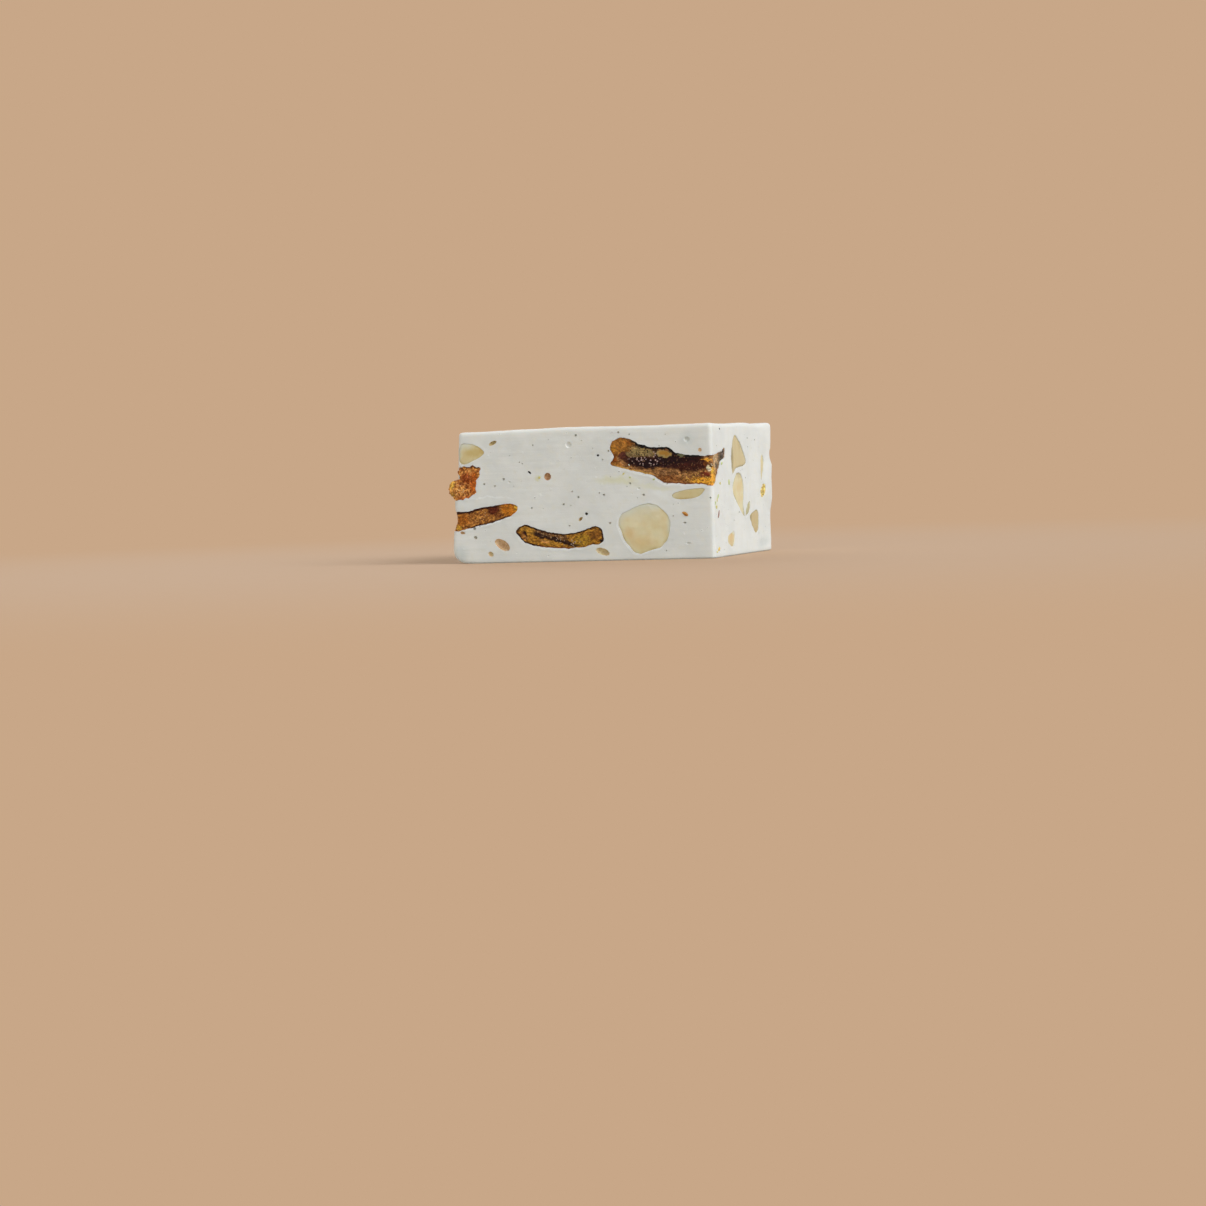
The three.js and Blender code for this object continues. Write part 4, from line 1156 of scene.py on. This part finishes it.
crumbs = {
    "tones": {
        "yellow": (colour(232, 222, 140), colour(214, 194, 100)),
        "green": (colour(212, 216, 150), colour(184, 192, 112)),
        "rust": (colour(214, 150, 58), colour(160, 94, 26)),
        "brown": (colour(168, 108, 86), colour(128, 76, 60)),
        "orange": (colour(246, 212, 108), colour(234, 184, 70)),
    },
    "seen": {  # across, up, half sizes along, up and out, turn, tone
        "front": [
            (-11.5, 21.3, (0.34, 0.3, 0.16), 0, "yellow"), (26.4, 11.2, (0.85, 0.42, 0.2), -28, "rust"),
            (10.8, 21.6, (0.4, 0.25, 0.1), 40, "yellow"), (12.4, 20.6, (0.3, 0.2, 0.1), 0, "green"),
            (18.6, 20.0, (0.35, 0.2, 0.1), 20, "green"),
        ],
        "right": [
            (-13.4, 18.6, (0.62, 0.75, 0.2), 10, "green"), (-19.9, 23.4, (0.7, 0.3, 0.2), 30, "green"),
            (-24.0, 15.2, (0.8, 0.35, 0.16), 40, "green"), (-24.9, 14.4, (0.35, 0.5, 0.14), 0, "yellow"),
            (-25.9, 12.6, (0.8, 0.4, 0.16), -15, "yellow"), (-26.9, 13.6, (0.3, 0.5, 0.12), 0, "green"),
            (-21.8, 18.4, (0.6, 0.35, 0.12), 0, "yellow"), (-24.6, 2.1, (0.75, 0.5, 0.24), 20, "orange"),
            (-26.4, 1.5, (0.4, 0.3, 0.2), 0, "yellow"), (-23.9, 10.8, (1.25, 0.3, 0.16), 58, "brown"),
            (19.4, 14.6, (0.7, 0.35, 0.2), 0, "orange"),
        ],
        "left": [
            (-18.0, 9.4, (0.6, 0.4, 0.2), 30, "yellow"), (6.5, 12.6, (0.9, 0.4, 0.18), -20, "rust"),
        ],
        "back": [
            (6.0, 17.4, (0.5, 0.35, 0.18), 10, "yellow"), (-22.4, 13.2, (1.0, 0.35, 0.18), 35, "rust"),
            (25.6, 14.0, (0.6, 0.3, 0.16), -20, "green"),
        ],
    },
    "scattered": {"back": 9, "left": 8},
    "sizes": (0.16, 0.42),
    "flatness": (0.4, 0.9),
    "thickness": 0.5,     # of the half size
    "scatteredTones": ["yellow", "green", "rust", "orange"],
    "modelRough": (700, 700),
    "ragged": (0.5, 0.25),
    "seed": 7,
}


def crumbFinish(tone):
    light, dark = crumbs["tones"][tone]
    paint = Paint(f"crumb {tone}", Subsurface_Weight=0.3, Subsurface_Radius=(1.0, 0.6, 0.25),
                  Subsurface_Scale=0.6 * mm)
    mottle = paint.noise(0.4, 3)
    base = paint.mix(paint.ramp(mottle, 0.38, 0.62), light, dark)
    return paint.finish(base, paint.ramp(mottle, 0.3, 0.7, 0.38, 0.55), mottle, 0.5, 0.1)


draw = random.Random(crumbs["seed"])
fallen = [(side, *one) for side, some in crumbs["seen"].items() for one in some]
for side, across, up, size, isLarge in scatter(crumbs["scattered"], crumbs["sizes"], {}, taken, draw):
    tone = draw.choice(crumbs["scatteredTones"])
    half = (size, size * draw.uniform(*crumbs["flatness"]), size * crumbs["thickness"])
    fallen.append((side, across, up, half, draw.uniform(0, 180), tone))
crumbModel = roundModel(crumbs["modelRough"], [crumbFinish(tone) for tone in crumbs["tones"]])
toneIndex = {tone: i for i, tone in enumerate(crumbs["tones"])}
peel = joined([setOn(*one, toneIndex[tone], crumbModel) for *one, tone in fallen], "peel_crumbs")
remove(crumbModel)
roughen(peel, *crumbs["ragged"])
print("crumbs laid:", len(fallen))

studio = {
    "floorSize": 3,               # metres
    "backdrop": colour(200, 167, 136),
    "floor": colour(203, 171, 142),
    "fadesOver": (60, 380),       # mm from the bar, where the floor turns into the backdrop
    "bounce": (0.52, 0.5, 0.45, 1),
    "bounceDrop": 0.2,            # mm under the floor
    "keyFrom": (0.73, -0.30, 0.61),
    "keyStrength": 1.74,
    "keyColour": (0.945, 1.0, 1.09),
    "keySoftness": 40,            # degrees
    "fillFrom": (-0.5, 0.7, 0.45),
    "fillStrength": 0.4,
    "room": (1.0, 0.99, 0.955, 1),
    "roomStrength": 0.56,
}
bpy.ops.object.select_all(action="DESELECT")
bpy.ops.mesh.primitive_plane_add(size=studio["floorSize"])
floor = bpy.context.object
floor.name = "floor"
floor.visible_diffuse = False  # a neutral board under it, which the camera doesn't see, bounces the light instead
floor.visible_shadow = False
bpy.ops.object.select_all(action="DESELECT")
bpy.ops.mesh.primitive_plane_add(size=studio["floorSize"], location=(0, 0, -studio["bounceDrop"] * mm))
board = bpy.context.object
board.name = "bounce board"
board.visible_camera = False
board.visible_glossy = False

floorPaint = Paint("floor paper", Specular_IOR_Level=0.1)
fleck = floorPaint.noise(8, 3)
floorColour = floorPaint.mix(fleck * 0.06, studio["floor"], studio["backdrop"])
paper = floorPaint.finish(floorColour, floorPaint.ramp(fleck, 0, 1, 0.75, 0.85), fleck, 0.05)
far = floorPaint.distance(floorPaint.place)
plain = floorPaint.node("Emission", {}, {"Color": studio["backdrop"]})
fade = floorPaint.node("MixShader", {}, {0: floorPaint.ramp(far, *studio["fadesOver"]), 2: plain})
floorPaint.tree.links.new(floorPaint.shader.outputs[0], fade.socket.node.inputs[1])
floorPaint.tree.links.new(fade.socket, floorPaint.tree.nodes["Material Output"].inputs["Surface"])
floor.data.materials.append(paper)
boardPaint = Paint("board", Specular_IOR_Level=0.0, Base_Color=studio["bounce"], Roughness=0.9)
board.data.materials.append(boardPaint.material)


def addSun(name, comesFrom, strength, softness, tint=(1, 1, 1)):
    data = bpy.data.lights.new(name, "SUN")
    data.color = tint
    data.energy = strength
    data.angle = math.radians(softness)
    sun = bpy.data.objects.new(name, data)
    sun.rotation_euler = Vector(comesFrom).to_track_quat("Z", "Y").to_euler()
    bpy.context.scene.collection.objects.link(sun)


addSun("key", studio["keyFrom"], studio["keyStrength"], studio["keySoftness"], studio["keyColour"])
addSun("fill", studio["fillFrom"], studio["fillStrength"], studio["keySoftness"])

room = bpy.data.worlds.new("room")
bpy.context.scene.world = room
room.use_nodes = True
links, nodes = room.node_tree.links, room.node_tree.nodes
lit = nodes["Background"]
lit.inputs["Color"].default_value = studio["room"]
lit.inputs["Strength"].default_value = studio["roomStrength"]
seen = nodes.new("ShaderNodeBackground")
seen.inputs["Color"].default_value = studio["backdrop"]
choice = nodes.new("ShaderNodeMixShader")
path = nodes.new("ShaderNodeLightPath")
links.new(path.outputs["Is Camera Ray"], choice.inputs[0])
links.new(lit.outputs[0], choice.inputs[1])
links.new(seen.outputs[0], choice.inputs[2])
links.new(choice.outputs[0], nodes["World Output"].inputs["Surface"])
bpy.context.scene.view_settings.view_transform = "Standard"

# the camera stands as it did for the photograph: eye in mm from the bar's middle
cameraFit = {
    "eye": Vector((206.47, -647.13, 21.09)),
    "right": Vector((0.95051, 0.30902, -0.03236)),
    "up": Vector((0.01571, 0.05623, 0.99829)),
    "lens": 77.6,
    "sensor": 36,
    "clip": (0.01, 20),  # metres
}


def makeCamera():
    data = bpy.data.cameras.new("camera")
    data.lens = cameraFit["lens"]
    data.sensor_width = cameraFit["sensor"]
    data.clip_start, data.clip_end = cameraFit["clip"]
    camera = bpy.data.objects.new("camera", data)
    bpy.context.scene.collection.objects.link(camera)
    right = cameraFit["right"].normalized()
    back = right.cross(cameraFit["up"]).normalized()
    turn = Matrix((right, back.cross(right), back)).transposed()
    camera.matrix_world = Matrix.Translation(cameraFit["eye"] * mm + barMiddle) @ turn.to_4x4()
    bpy.context.scene.camera = camera


makeCamera()

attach(nougat, "root")
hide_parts("nougat_bar")
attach(peel, "root")
for settings in foods.values():
    for node in settings["nodes"]:
        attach(pieces[node], "root")
        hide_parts(node)
smoothUpTo = math.radians(35)
for piece in [nougat, peel, *pieces.values()]:
    pick(piece)
    bpy.ops.object.shade_smooth_by_angle(angle=smoothUpTo)
